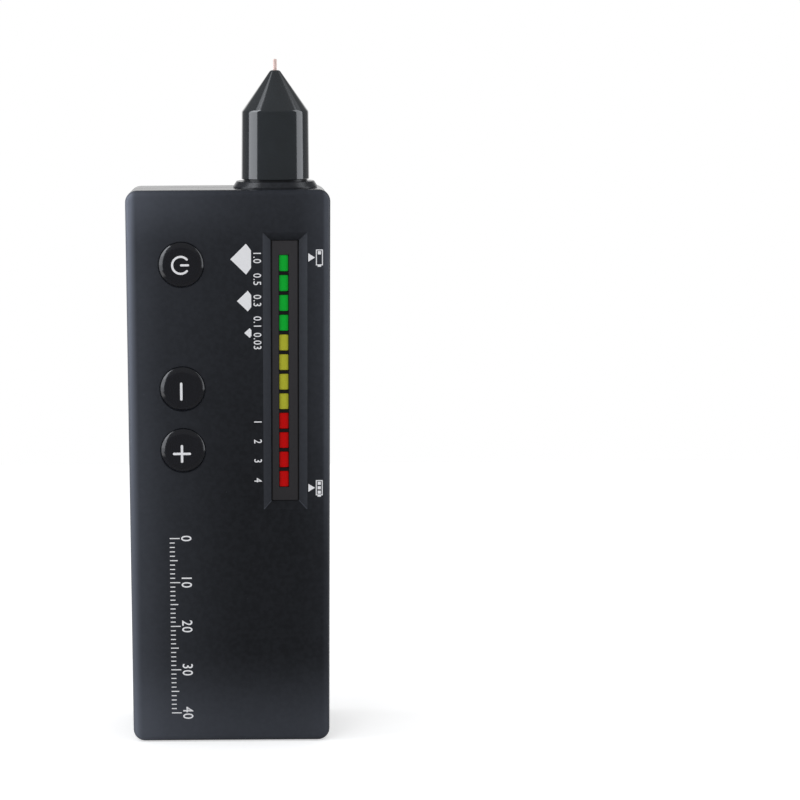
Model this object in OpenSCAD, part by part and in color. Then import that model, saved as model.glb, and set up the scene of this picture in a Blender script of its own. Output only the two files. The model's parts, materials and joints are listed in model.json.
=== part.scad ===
// Handheld gemstone tester: a two-part case with a heated probe, three buttons and a light bar.
// Millimetres. X runs across the front, Y from the front to the back, Z up to the probe.
// The origin is the middle of the bottom end, midway between front and back.

/* [Case] */
// Width of the case across the front
body_w = 44; // [41:0.1:50]
// Height of the case without the probe
body_h = 123; // [118:1:140]
// Depth of the case from front to back
body_d = 22; // [20.5:0.5:28]
// Thickness of the case walls
wall = 1.8; // [1.5:0.1:2.1]
// Radius of the four corners seen from the front
corner_r = 2.6; // [2.4:0.1:4]
// Radius of the edges round the front and the back
edge_r = 1.4; // [0.8:0.1:2.3]
// Radius of the corners inside the case
inner_r = 1.2; // [0.4:0.1:1.6]
// Radius where the inside walls meet the front and the back
inner_edge_r = 0.4; // [0.1:0.1:0.4]
// Height of the groove that shows along the seam
seam_gap = 0.3; // [0.1:0.05:0.6]
// Height of the rear cover's tongue inside the front cover
tongue_h = 1.5; // [1:0.1:2.5]
// Gap beside the tongue
tongue_clear = 0.1; // [0.05:0.05:0.2]
// Bevel round the holes for the buttons and the screw heads
mouth_bevel = 0.15; // [0.1:0.05:0.4]

/* [Probe] */
// Distance of the probe's axis from the right side of the case
nozzle_from_side = 11.55; // [9.5:0.05:13]
// Diameter of the nozzle's barrel
nozzle_d = 14.6; // [13:0.1:15.5]
// Length of the nozzle's barrel
nozzle_len = 14.6; // [12:0.2:20]
// Height of the nozzle's cone
cone_h = 8.8; // [7.5:0.1:12]
// Diameter of the flat at the end of the cone
cone_tip_d = 2; // [1.8:0.1:3]
// Radius of the edge between the barrel and the cone
shoulder_r = 1; // [0.3:0.1:2]
// Radius of the edge round the end of the cone
tip_r = 0.5; // [0.2:0.1:0.6]
// Diameter of the nozzle's neck in the case
neck_d = 10.6; // [10.2:0.1:11.2]
// Gap round the neck in the case and in the collar
neck_clear = 0.1; // [0.05:0.05:0.3]
// Diameter of the nozzle's flange inside the case
nozzle_flange_d = 13.6; // [12.5:0.1:15]
// Thickness of that flange
nozzle_flange_t = 1.5; // [1:0.1:2.5]
// Length of the neck below the flange
skirt_h = 1.5; // [1:0.1:2.5]
// Diameter of the collar on the top end
collar_d = 18.4; // [17:0.1:19.5]
// Height of the collar
collar_h = 1.4; // [1.2:0.1:2.5]
// Height of the collar's upright edge
collar_edge_h = 0.6; // [0.2:0.05:0.8]
// How far the collar draws in above that edge
collar_round = 0.45; // [0.2:0.05:0.8]
// Height of the land inside the collar that carries the nozzle
collar_land_h = 0.45; // [0.1:0.05:0.6]
// Diameter of the bore that holds the heater and the spring
spring_bore_d = 7; // [6.6:0.1:7.4]
// How far that bore runs into the cone
bore_in_cone = 2; // [1:0.1:2.6]
// Diameter of the bore that holds the guide's stem
guide_bore_d = 3; // [2.4:0.1:3.4]
// Thickness of the nozzle's end in front of the guide
nozzle_end_t = 2.2; // [1.6:0.1:3]
// Thickness of the guide's flange
guide_flange_t = 1.2; // [0.8:0.1:2]
// Gap round the guide and round the plug
insert_clear = 0.05; // [0.02:0.01:0.1]
// Diameter of the probe pin
pin_d = 0.8; // [0.6:0.05:1]
// Length of the pin that shows
pin_out = 2.4; // [2:0.1:3.5]
// Gap round the pin
pin_clear = 0.08; // [0.05:0.01:0.1]
// Diameter of the pin's foot
pin_foot_d = 3; // [2.4:0.1:4]
// Thickness of the pin's foot
pin_foot_t = 0.8; // [0.5:0.1:1.5]
// Gap round the heater
heater_clear = 0.3; // [0.2:0.05:0.5]
// Height of the heater
heater_h = 4; // [3:0.1:6]
// Diameter of the spigot under the heater and of the plug's post that stops it
spigot_d = 3.8; // [3:0.1:4]
// Length of the spigot under the heater
spigot_h = 2.5; // [1.5:0.1:4]
// Diameter of the probe spring's wire
spring_wire = 0.6; // [0.4:0.05:0.7]
// Turns of the probe spring
spring_turns = 7; // [5:1:9]
// Gap between the probe spring and its bore
spring_clear = 0.3; // [0.2:0.05:0.4]
// Diameter of the plug's seat in the neck
plug_seat_d = 8.4; // [8:0.1:8.8]
// Diameter of the hole for the leads
lead_hole_d = 2.4; // [2:0.1:2.8]
// How far the probe slides in
probe_travel = 1.2; // [0.5:0.1:1.6]
// Room left under a probe that is pushed home
probe_room = 0.2; // [0.1:0.05:0.4]

/* [Buttons] */
// Distance of the buttons from the left side of the case
button_from_side = 11.9; // [10.5:0.1:12.5]
// Distance of the power button from the top end
power_from_top = 15.9; // [15.5:0.1:20]
// Distance of the minus button from the top end
minus_from_top = 42.9; // [38:0.1:44]
// Distance of the plus button from the top end
plus_from_top = 56.5; // [56:0.1:62]
// Diameter of a button
button_d = 9.5; // [8:0.1:10.4]
// How far a button stands out of the front
button_out = 0.8; // [0.6:0.1:1.5]
// Radius of a button's rim
button_rim_r = 1.5; // [0.2:0.1:1.6]
// Gap round a button
button_clear = 0.15; // [0.1:0.05:0.3]
// Width of the flange behind the front wall
button_flange_w = 1; // [0.6:0.1:1.4]
// Thickness of that flange
button_flange_t = 0.9; // [0.6:0.1:1.5]
// Diameter of the stem under a button
stem_d = 4; // [3:0.1:6]
// Length of the stem under a button
stem_l = 0.8; // [0.6:0.1:2]
// How far a button slides in
button_travel = 0.5; // [0.2:0.05:0.6]
// Side of a switch body
switch_w = 6; // [5:0.1:7]
// Height of a switch body
switch_h = 3.5; // [3:0.1:4]
// Diameter of a switch plunger
plunger_d = 3.2; // [2.5:0.1:3.8]
// How far a plunger stands out of its switch
plunger_out = 1; // [0.8:0.1:1.5]
// How far a plunger reaches into its switch
plunger_in = 1.4; // [1:0.1:1.8]
// Gap round a plunger
plunger_clear = 0.1; // [0.05:0.05:0.2]
// Room left under a plunger that is pressed home
plunger_room = 0.2; // [0.1:0.05:0.4]

/* [Light bar] */
// Distance of the light bar from the right side of the case
bar_from_side = 9.8; // [9.2:0.1:10.7]
// Distance of the light bar's upper edge from the top end
bar_from_top = 9.1; // [8.6:0.1:12]
// Width of the light bar's recess at the front
bar_w = 9.7; // [8:0.1:10]
// Length of the light bar's recess at the front
bar_l = 60.7; // [60.2:0.1:66]
// Depth of the recess
bar_depth = 1.2; // [1:0.1:2.4]
// Width of the window
window_w = 5.8; // [4.5:0.1:6.6]
// Length of the window
window_l = 57; // [55:0.1:59]
// Thickness of the window
window_t = 1; // [0.9:0.1:1.5]
// Gap round the window
window_gap = 0.15; // [0.1:0.05:0.3]
// Width of the lip behind the window
window_lip = 0.9; // [0.5:0.1:1]
// Thickness of the lip behind the window
window_lip_t = 0.6; // [0.4:0.1:0.7]
// Wall of the frame round the lip
frame_wall = 1; // [0.6:0.1:1.3]
// Number of lamps
lamp_count = 12; // [6:3:12]
// Distance from lamp to lamp
lamp_pitch = 4.31; // [4.1:0.01:4.5]
// How far the row of lamps lies below the middle of the window
lamp_drop = 0.05; // [0:0.05:1]
// How far the lamps sit left of the middle of the bar
lamp_left = 0.25; // [0:0.05:0.5]
// Width of a lamp
lamp_w = 2; // [1.5:0.05:3]
// Length of a lamp
lamp_l = 3.5; // [2.5:0.05:3.6]
// Depth of a lamp's face below the window
lamp_sink = 0.1; // [0.05:0.05:0.4]
// Gap round a lamp
lamp_clear = 0.08; // [0.05:0.01:0.12]

/* [Back] */
// Width of the metal plate
plate_w = 29.1; // [24:0.1:31]
// Length of the metal plate
plate_l = 40.4; // [30:0.1:44]
// Distance of the plate's upper edge from the top end
plate_from_top = 13.7; // [13:0.1:18]
// Thickness of the plate
plate_t = 0.9; // [0.7:0.1:1.1]
// How far the plate stands out of the back
plate_proud = 0.1; // [0.05:0.05:0.3]
// Gap round the plate
plate_gap = 0.15; // [0.1:0.05:0.3]
// Radius of the plate's corners
plate_corner_r = 0.6; // [0.3:0.1:3]
// Radius of the plate's edge
plate_edge_r = 0.15; // [0.05:0.05:0.25]
// Distance of the plate's contact spring from the plate's side
contact_inset = 3.5; // [3:0.1:5]
// Distance of the contact spring from the plate's upper edge
contact_drop = 10; // [6:0.5:13]
// Outer diameter of the contact spring
contact_d = 3.9; // [3:0.1:4.4]
// Diameter of its wire
contact_wire = 0.5; // [0.3:0.05:0.6]
// Turns of the contact spring
contact_turns = 6; // [4:1:8]
// Gap round the contact spring in the rear wall
contact_clear = 0.5; // [0.2:0.1:0.8]
// Distance of the sound holes from the right side of the case
sound_from_side = 13.45; // [11:0.05:15]
// Distance of the sound holes from the top end
sound_from_top = 81.5; // [80:0.5:88]
// Radius of the ring of sound holes
sound_ring_r = 4.25; // [3:0.05:4.6]
// Diameter of a sound hole
sound_hole_d = 1.85; // [1:0.05:2.2]
// Number of sound holes in the ring
sound_count = 6; // [3:1:8]
// Diameter of the buzzer
buzzer_d = 12; // [11.5:0.1:13]
// Height of the buzzer
buzzer_h = 7.4; // [6:0.1:8]
// Diameter of the buzzer's sound port
buzzer_port_d = 2; // [1:0.1:3]
// Depth of that port
buzzer_port_h = 1.5; // [0.5:0.1:3]
// Width of the seal between the buzzer and the rear wall
seal_w = 0.6; // [0.4:0.1:0.8]

/* [Screws] */
// Distance of the case screws from the sides of the case
screw_from_side = 8.1; // [7:0.1:8.5]
// Distance of the case screws from the ends of the case
screw_from_end = 7.3; // [6.6:0.1:7.6]
// Diameter of a case screw
screw_d = 2; // [1.6:0.1:2.3]
// Length of a case screw below its head
screw_l = 13; // [11.5:0.5:15]
// Diameter of a case screw's head
screw_head_d = 4; // [3.4:0.1:4.4]
// Height of a case screw's head
screw_head_h = 1.4; // [1:0.1:1.8]
// How far the head lies below the back
screw_sink = 0.5; // [0.2:0.1:0.9]
// Gap round a screw head and round a shank in its clearance hole
screw_clear = 0.2; // [0.1:0.05:0.3]
// Gap between a screw and the hole that it cuts its thread in
thread_clear = 0.03; // [0.02:0.01:0.05]
// Room below the end of a screw
screw_room = 0.8; // [0.4:0.1:1.5]
// Wall of the posts round the case screws
post_wall = 1.8; // [1.2:0.1:2]
// Diameter of a board screw
board_screw_d = 1.6; // [1.4:0.1:2]
// Length of a board screw below its head
board_screw_l = 5; // [4:0.5:6]
// Diameter of a board screw's head
board_screw_head_d = 3; // [2.6:0.1:3.4]
// Height of a board screw's head
board_screw_head_h = 1.1; // [0.8:0.1:1.4]
// Width of the cross in a head, as a share of the head's diameter
cross_w_share = 0.16; // [0.1:0.01:0.22]
// Length of the cross in a head, as a share of the head's diameter
cross_l_share = 0.62; // [0.4:0.01:0.7]
// Depth of the cross, as a share of the head's height
cross_h_share = 0.5; // [0.3:0.05:0.7]

/* [Circuit board] */
// Thickness of the board
board_t = 1.6; // [1:0.1:2]
// Gap between the board and the side walls
board_side_gap = 0.8; // [0.3:0.1:1.2]
// Distance of the board's upper edge from the top end
board_from_top = 8.5; // [8:0.1:9.5]
// Gap between the board and the bottom wall
board_end_gap = 0.6; // [0.3:0.1:2]
// Room round a case post where the board is cut away
notch_gap = 0.8; // [0.4:0.1:1.2]
// Wall of the posts that carry the board
standoff_wall = 1.4; // [1:0.1:1.6]
// Distance of those posts from the side walls
standoff_inset = 3.2; // [3:0.1:3.4]
// Height of the lower pair of those posts above the bottom end
standoff_low = 20; // [18:0.5:22]
// Length of the controller chip
controller_l = 12.8; // [8:0.1:14]
// Width of the controller chip
controller_w = 7.5; // [4:0.1:9]
// Thickness of the controller chip
controller_t = 2.3; // [1:0.1:3]
// Distance of the controller chip from the left side of the case
controller_from_side = 13; // [12:0.1:14]
// Gap between the controller chip and the cell
controller_gap = 2; // [1:0.1:4]
// Length of the charge chip
charge_l = 5; // [4:0.1:6]
// Width of the charge chip
charge_w = 4; // [3:0.1:5]
// Thickness of the charge chip
charge_t = 1.6; // [1:0.1:2]
// Gap between the charge socket and the charge chip
charge_gap = 3.7; // [2:0.1:5]
// Length of one small board part
passive_l = 2; // [1:0.1:2.4]
// Width of one small board part
passive_w = 1.25; // [0.6:0.05:1.6]
// Thickness of one small board part
passive_t = 0.8; // [0.4:0.1:1.2]
// Number of small board parts
passive_count = 6; // [3:1:7]
// Distance from one small board part to the next
passive_pitch = 4; // [3:0.1:4.2]
// Gap between the charge chip and the row of small board parts
passive_gap = 2; // [1:0.1:4]

/* [Battery] */
// Width of the cell
battery_w = 26; // [20:0.5:28]
// Length of the cell
battery_l = 38; // [30:0.5:39]
// Thickness of the cell
battery_t = 6.5; // [4:0.1:7]
// Radius of the cell's corners
battery_corner_r = 2; // [1.2:0.1:3]
// Radius of the cell's rear edge
battery_edge_r = 1; // [0.3:0.1:1.1]
// Distance of the cell from the right side wall
battery_side_gap = 3.7; // [2:0.1:6]
// Gap between the buzzer and the cell
battery_gap = 2.5; // [1:0.1:3]
// Thickness of the foam tape under the cell
tape_t = 0.8; // [0.4:0.1:1.2]
// How far the tape stays inside the cell's outline
tape_inset = 2; // [1:0.1:4]
// Diameter of a lead
lead_d = 0.6; // [0.4:0.05:0.7]
// Distance between two leads of a pair
lead_pitch = 1.1; // [0.9:0.05:1.3]
// Distance of the battery leads from the cell's left side
battery_lead_in = 5.5; // [3:0.5:7]
// Length of a lead that lies on the board
lead_on_board = 2.5; // [1.5:0.1:3]
// Height over which the battery leads come down to the board
battery_lead_rise = 5; // [4:0.1:6]

/* [Charge socket] */
// Width of the socket's shell
usb_w = 8.94; // [8:0.02:9.5]
// Thickness of the socket's shell
usb_t = 3.2; // [3:0.02:3.6]
// Length of the socket's shell
usb_l = 7.4; // [6:0.1:9]
// Radius of the shell's corners
usb_r = 1.4; // [1:0.05:1.45]
// Sheet thickness of the shell
usb_sheet = 0.3; // [0.2:0.05:0.4]
// How far the shell lies inside the bottom end
usb_recess = 0.4; // [0.2:0.1:0.8]
// Gap round the shell in the bottom wall
usb_gap = 0.3; // [0.15:0.05:0.5]
// Width of the tongue's blade
usb_blade_w = 6.6; // [6:0.05:6.8]
// Thickness of the tongue's blade
usb_blade_t = 0.7; // [0.6:0.05:0.9]
// How far the blade lies inside the shell's mouth
usb_blade_recess = 0.8; // [0.4:0.1:1.2]
// Length of the block at the tongue's root
usb_root_l = 2; // [1.5:0.1:2.5]
// Gap round that block
usb_root_clear = 0.03; // [0.02:0.01:0.05]

/* [Hidden] */
$fn = 48;
// How far a cut runs past the face that it opens
over = 0.5;
// Sides of a swept wire
wire_sides = 6;
// Rings in one turn of a spring
turn_rings = 12;
// Rings in the bend of a lead
bend_rings = 6;
// Steps in the collar's rounded edge
collar_steps = 6;
// Steps in a rounded edge of the nozzle
corner_steps = 6;

// The case from front to back
half_d = body_d / 2;
rim = seam_gap / 2;
front_in = half_d - wall;
post_d = screw_d + 2 * post_wall;
standoff_d = board_screw_d + 2 * standoff_wall;

// The front stack: button, switch and board, as heights in front of the seam
button_flange_d = button_d + 2 * button_flange_w;
plunger_top = front_in - button_flange_t - stem_l;
switch_top = plunger_top - plunger_out;
board_front = switch_top - switch_h;
board_back = board_front - board_t;

// The same faces of the board as places along Y
board_front_y = -board_front;
board_back_y = -board_back;

// Places across and up the front
button_x = -body_w / 2 + button_from_side;
button_z = [for (drop = [power_from_top, minus_from_top, plus_from_top]) body_h - drop];
bar_x = body_w / 2 - bar_from_side;
bar_z = body_h - bar_from_top - bar_l / 2;
bar_floor = half_d - bar_depth;
opening_w = window_w + 2 * window_gap;
opening_l = window_l + 2 * window_gap;
lip_w = window_w + 2 * window_lip;
lip_l = window_l + 2 * window_lip;
frame_w = lip_w + 2 * (window_gap + frame_wall);
frame_l = lip_l + 2 * (window_gap + frame_wall);
lamp_group = lamp_count / 3;

// Places up the probe
nozzle_x = body_w / 2 - nozzle_from_side;
nozzle_z = body_h + collar_h + collar_land_h;
cone_z = nozzle_z + nozzle_len;
tip_z = cone_z + cone_h;
guide_top_z = tip_z - nozzle_end_t;
bore_top_z = cone_z + bore_in_cone;
guide_foot_z = bore_top_z - guide_flange_t;
pin_foot_z = guide_foot_z - pin_foot_t;
heater_z = pin_foot_z - heater_h;
spigot_z = heater_z - spigot_h;
flange_top_z = body_h - wall;
flange_z = flange_top_z - nozzle_flange_t;
neck_z = flange_z - skirt_h;
plug_top_z = spigot_z - probe_travel - probe_room;
spring_r = spring_bore_d / 2 - spring_clear - spring_wire / 2;

// Places on the back
plate_z = body_h - plate_from_top - plate_l / 2;
plate_back_y = half_d + plate_proud - plate_t;
contact_x = -plate_w / 2 + contact_inset;
contact_z = body_h - plate_from_top - contact_drop;
contact_r = (contact_d - contact_wire) / 2;
sound_x = body_w / 2 - sound_from_side;
sound_z = body_h - sound_from_top;
seal_y = board_back_y + buzzer_h;
screw_seat_y = half_d - screw_sink - screw_head_h;
screw_places = [[-body_w / 2 + screw_from_side, body_h - screw_from_end],
                [body_w / 2 - screw_from_side, screw_from_end]];

// The board and what stands on it
board_w = body_w - 2 * (wall + board_side_gap);
board_z = wall + board_end_gap;
board_top_z = body_h - board_from_top;
standoff_x = body_w / 2 - wall - standoff_inset;
standoff_mid_x = (button_x + button_flange_d / 2 + bar_x - frame_w / 2) / 2;
standoff_high = (button_z[0] + button_z[1]) / 2;
standoff_places = [[-standoff_x, standoff_high], [standoff_mid_x, standoff_high],
                   [-standoff_x, standoff_low], [standoff_x, standoff_low]];
battery_x = body_w / 2 - wall - battery_side_gap - battery_w / 2;
battery_z = sound_z + buzzer_d / 2 + battery_gap;
battery_y = board_back_y + tape_t;
battery_top_z = battery_z + battery_l;
controller_x = -body_w / 2 + controller_from_side;
controller_z = battery_z - controller_gap - controller_l / 2;
charge_z = usb_recess + usb_l + charge_gap + charge_l / 2;
passive_z = charge_z + charge_l / 2 + passive_gap + passive_w / 2;
usb_y = board_back_y + usb_t / 2;

// Names of the lamps from the top of the bar down
lamp_colours = ["green", "yellow", "red"];
lamp_paints = [[0.11, 0.56, 0.2], [0.58, 0.61, 0.2], [0.66, 0.02, 0.02]];
function lamp_kind(i) = floor(i / lamp_group);
function lamp_name(i) = str(lamp_colours[lamp_kind(i)], "_lamp_", i % lamp_group + 1);
function lamp_z(i) = bar_z - lamp_drop + ((lamp_count - 1) / 2 - i) * lamp_pitch;

button_names = ["power", "minus", "plus"];

// Turns a shape that is drawn upwards so that it points out of the front
module toward_front(x, z) {
    translate([x, 0, z]) rotate([90, 0, 0]) children();
}

// Turns a shape that is drawn upwards so that it points out of the back
module toward_back(x, z, y = 0) {
    translate([x, y, z]) rotate([-90, 0, 0]) children();
}

// Section of an upright edge: r wide and d high, with its upper outer corner rounded by e
module edge_section(r, d, e) {
    if (e > 0) {
        square([r, d - e]);
        translate([0, d - e]) square([r - e, e]);
        translate([r - e, d - e]) intersection() {
            circle(e);
            square(e);
        }
    } else {
        square([r, d]);
    }
}

// Block w by h by d with corners of radius r and an upper edge of radius e
module slab(w, h, d, r, e = 0) {
    x = w / 2 - r;
    y = h / 2 - r;
    translate([-x, -y, 0]) cube([2 * x, 2 * y, d]);
    for (turn = [0, 180]) rotate(turn) {
        translate([x, y, 0]) rotate([90, 0, 0]) linear_extrude(2 * y) edge_section(r, d, e);
        translate([-x, y, 0]) rotate([90, 0, 90]) linear_extrude(2 * x) edge_section(r, d, e);
        translate([x, y, 0]) rotate_extrude(angle = 90) edge_section(r, d, e);
        translate([-x, y, 0]) rotate(90) rotate_extrude(angle = 90) edge_section(r, d, e);
    }
}

// Cube that is centred on X and Y and stands on Z
module standing_cube(w, h, d) {
    translate([-w / 2, -h / 2, 0]) cube([w, h, d]);
}

// Wire of radius r along frames that each hold a centre, a direction and a side
module swept_wire(frames, r) {
    count = len(frames);
    points = [for (f = frames, k = [0:wire_sides - 1])
        let (a = 360 * k / wire_sides)
        f[0] + r * (cos(a) * f[2] + sin(a) * cross(f[1], f[2]))];
    skin = [for (i = [0:count - 2], k = [0:wire_sides - 1])
        let (a = i * wire_sides + k, b = i * wire_sides + (k + 1) % wire_sides)
        each [[a, a + wire_sides, b + wire_sides], [a, b + wire_sides, b]]];
    first = [[for (k = [0:wire_sides - 1]) k]];
    last = [[for (k = [1:wire_sides]) count * wire_sides - k]];
    polyhedron(points, concat(first, skin, last));
}

function unit(v) = v / norm(v);

// Arc of radius r that rounds the corner b of an outline that runs from a to c
function corner_arc(a, b, c, r) =
    let (u = unit(a - b), v = unit(c - b), half = acos(u * v) / 2,
         centre = b + unit(u + v) * r / sin(half),
         first = b + u * r / tan(half) - centre, last = b + v * r / tan(half) - centre,
         start = atan2(first.y, first.x),
         sweep = (atan2(last.y, last.x) - start + 540) % 360 - 180)
    [for (i = [0:corner_steps])
        let (angle = start + sweep * i / corner_steps)
        centre + r * [cos(angle), sin(angle)]];

// Frames along a coil of radius r that climbs from z0 to z1
function coil_frames(r, turns, z0, z1) =
    let (steps = turns * turn_rings, climb = (z1 - z0) / (turns * 2 * PI))
    [for (i = [0:steps])
        let (a = 360 * i / turn_rings)
        [[r * cos(a), r * sin(a), z0 + (z1 - z0) * i / steps],
         unit([-r * sin(a), r * cos(a), climb]),
         [cos(a), sin(a), 0]]];

// Points of a lead that runs straight, crosses over in an even bend and runs straight again
function lead_points(x, y0, z0, y1, z1, bend_from, bend_to) = concat(
    [[x, y0, z0]],
    [for (i = [0:bend_rings])
        let (s = i / bend_rings)
        [x, y0 + (y1 - y0) * (1 - cos(180 * s)) / 2, bend_from + (bend_to - bend_from) * s]],
    [[x, y1, z1]]);

// Frames along a lead that stays in one plane across X
function lead_frames(points) =
    let (last = len(points) - 1)
    [for (i = [0:last])
        [points[i],
         unit(points[min(i + 1, last)] - points[max(i - 1, 0)]),
         [1, 0, 0]]];

// Screw with a rounded head above Z = 0, a cross in it, and a plain shank below
module cross_screw(d, l, head_d, head_h) {
    difference() {
        union() {
            rotate_extrude() edge_section(head_d / 2, head_h, head_h / 2);
            translate([0, 0, -l]) cylinder(d = d, h = l + head_h / 4);
        }
        for (turn = [0, 90]) rotate(turn) translate([0, 0, head_h * (1 - cross_h_share)])
            standing_cube(head_d * cross_l_share, head_d * cross_w_share, head_h);
    }
}

// One half of the case, with its rim near Z = 0 and its face at the top
module half_shell() {
    difference() {
        translate([0, 0, rim]) slab(body_w, body_h, half_d - rim, corner_r, edge_r);
        translate([0, 0, rim - over])
            slab(body_w - 2 * wall, body_h - 2 * wall, front_in - rim + over, inner_r, inner_edge_r);
    }
}

// What both covers leave free at the ends: the nozzle's neck and the charge socket
module end_holes() {
    translate([nozzle_x, 0, flange_top_z - over])
        cylinder(d = neck_d + 2 * neck_clear, h = wall + 2 * over);
    translate([0, usb_y, -over])
        slab(usb_w + 2 * usb_gap, usb_t + 2 * usb_gap, wall + 2 * over, usb_r + usb_gap);
}

// Hole of diameter d from z up through the face, with a bevelled mouth
module bevelled_hole(d, z) {
    translate([0, 0, z]) cylinder(d = d, h = half_d - z + over);
    translate([0, 0, half_d - mouth_bevel])
        cylinder(d1 = d, d2 = d + 2 * (mouth_bevel + over), h = mouth_bevel + over);
}

// Sunk frame of the light bar, cut from the front: sloped walls, the opening and the lip's seat
module bar_cut() {
    run_w = (bar_w - opening_w) / 2 / bar_depth * over;
    run_l = (bar_l - opening_l) / 2 / bar_depth * over;
    top = [bar_w / 2 + run_w, bar_l / 2 + run_l];
    low = [opening_w / 2, opening_l / 2];
    ring = [[-1, -1], [1, -1], [1, 1], [-1, 1]];
    polyhedron(
        concat([for (c = ring) [c.x * low.x, c.y * low.y, bar_floor]],
               [for (c = ring) [c.x * top.x, c.y * top.y, half_d + over]]),
        concat([[0, 1, 2, 3], [7, 6, 5, 4]],
               [for (i = [0:3]) [i, i + 4, (i + 1) % 4 + 4, (i + 1) % 4]]));
    translate([0, 0, bar_floor - window_t - over]) standing_cube(opening_w, opening_l, window_t + over);
    translate([0, 0, bar_floor - window_t - over])
        standing_cube(lip_w + 2 * window_gap, lip_l + 2 * window_gap, window_lip_t + over);
}

module front_cover() {
    color([0.18, 0.185, 0.195])
    difference() {
        union() {
            toward_front(0, body_h / 2) difference() {
                half_shell();
                translate([0, 0, rim - over])
                    slab(body_w - wall, body_h - wall, tongue_h + over, corner_r - wall / 2);
            }
            for (p = screw_places) toward_front(p[0], p[1]) cylinder(d = post_d, h = half_d - wall / 2);
            for (p = standoff_places) toward_front(p[0], p[1])
                translate([0, 0, board_front])
                    cylinder(d = standoff_d, h = half_d - wall / 2 - board_front);
            toward_front(bar_x, bar_z)
                translate([0, 0, bar_floor - window_t])
                    standing_cube(frame_w, frame_l, bar_depth + window_t - wall / 2);
        }
        for (p = screw_places) toward_front(p[0], p[1])
            translate([0, 0, -over])
                cylinder(d = screw_d + 2 * thread_clear, h = screw_l - screw_seat_y + screw_room + over);
        for (p = standoff_places) toward_front(p[0], p[1])
            translate([0, 0, board_front - over])
                cylinder(d = board_screw_d + 2 * thread_clear,
                         h = board_screw_l - board_t + screw_room + over);
        for (z = button_z) toward_front(button_x, z)
            bevelled_hole(button_d + 2 * button_clear, front_in - over);
        toward_front(bar_x, bar_z) bar_cut();
        end_holes();
    }
}

module rear_cover() {
    color([0.17, 0.175, 0.185])
    difference() {
        union() {
            toward_back(0, body_h / 2) {
                half_shell();
                translate([0, 0, -rim - tongue_h]) difference() {
                    slab(body_w - wall - 2 * tongue_clear, body_h - wall - 2 * tongue_clear,
                         tongue_h + seam_gap + wall, corner_r - wall / 2 - tongue_clear);
                    translate([0, 0, -over])
                        slab(body_w - 2 * wall, body_h - 2 * wall,
                             tongue_h + seam_gap + wall + 2 * over, inner_r);
                }
            }
            for (p = screw_places) toward_back(p[0], p[1]) cylinder(d = post_d, h = half_d - wall / 2);
        }
        for (p = screw_places) toward_back(p[0], p[1]) {
            translate([0, 0, -over]) cylinder(d = screw_d + 2 * screw_clear, h = half_d);
            bevelled_hole(screw_head_d + 2 * screw_clear, screw_seat_y);
        }
        toward_back(0, plate_z, plate_back_y)
            slab(plate_w + 2 * plate_gap, plate_l + 2 * plate_gap, plate_t, plate_corner_r + plate_gap);
        toward_back(contact_x, contact_z) translate([0, 0, front_in - over])
            cylinder(d = contact_d + 2 * contact_clear, h = wall + 2 * over);
        toward_back(sound_x, sound_z) {
            translate([0, 0, front_in - over]) cylinder(d = sound_hole_d, h = wall + 2 * over);
            for (i = [0:sound_count - 1]) rotate(90 + 360 * i / sound_count)
                translate([sound_ring_r, 0, front_in - over]) cylinder(d = sound_hole_d, h = wall + 2 * over);
        }
        end_holes();
    }
}

module nozzle_collar() {
    inner = neck_d / 2 + neck_clear;
    outer = collar_d / 2;
    land = (nozzle_d / 2 + inner) / 2;
    edge = [for (i = [0:collar_steps])
        let (a = 90 * i / collar_steps)
        [outer - collar_round * (1 - cos(a)), collar_edge_h + (collar_h - collar_edge_h) * sin(a)]];
    color([0.15, 0.155, 0.165]) translate([nozzle_x, 0, body_h]) rotate_extrude()
        polygon(concat([[inner, 0], [outer, 0]], edge,
                       [[land, collar_h], [land, collar_h + collar_land_h],
                        [inner, collar_h + collar_land_h]]));
}

module probe_nozzle() {
    mouth = [pin_d / 2 + pin_clear, tip_z];
    end = [cone_tip_d / 2, tip_z];
    shoulder = [nozzle_d / 2, cone_z];
    foot = [nozzle_d / 2, nozzle_z];
    color([0.09, 0.095, 0.105]) translate([nozzle_x, 0, 0]) rotate_extrude()
        polygon(concat(
            [mouth], corner_arc(mouth, end, shoulder, tip_r), corner_arc(end, shoulder, foot, shoulder_r),
            [foot, [neck_d / 2, nozzle_z], [neck_d / 2, flange_top_z],
             [nozzle_flange_d / 2, flange_top_z], [nozzle_flange_d / 2, flange_z],
             [neck_d / 2, flange_z], [neck_d / 2, neck_z],
             [plug_seat_d / 2, neck_z], [plug_seat_d / 2, flange_top_z],
             [spring_bore_d / 2, flange_top_z], [spring_bore_d / 2, bore_top_z],
             [guide_bore_d / 2, bore_top_z], [guide_bore_d / 2, guide_top_z],
             [mouth.x, guide_top_z]]));
}

module probe_guide() {
    color([0.92, 0.92, 0.9]) translate([nozzle_x, 0, 0]) difference() {
        union() {
            translate([0, 0, guide_foot_z])
                cylinder(d = spring_bore_d - 2 * insert_clear, h = guide_flange_t);
            translate([0, 0, guide_foot_z])
                cylinder(d = guide_bore_d - 2 * insert_clear, h = guide_top_z - guide_foot_z);
        }
        translate([0, 0, guide_foot_z - over])
            cylinder(d = pin_d + 2 * pin_clear, h = guide_top_z - guide_foot_z + 2 * over);
    }
}

module probe_tip() {
    color([0.72, 0.43, 0.33]) translate([nozzle_x, 0, pin_foot_z]) {
        cylinder(d = pin_foot_d, h = pin_foot_t);
        cylinder(d = pin_d, h = tip_z + pin_out - pin_foot_z);
    }
}

module probe_heater() {
    color([0.85, 0.83, 0.78]) translate([nozzle_x, 0, 0]) {
        translate([0, 0, heater_z]) cylinder(d = spring_bore_d - 2 * heater_clear, h = heater_h);
        translate([0, 0, spigot_z]) cylinder(d = spigot_d, h = spigot_h + heater_h / 2);
    }
}

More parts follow.
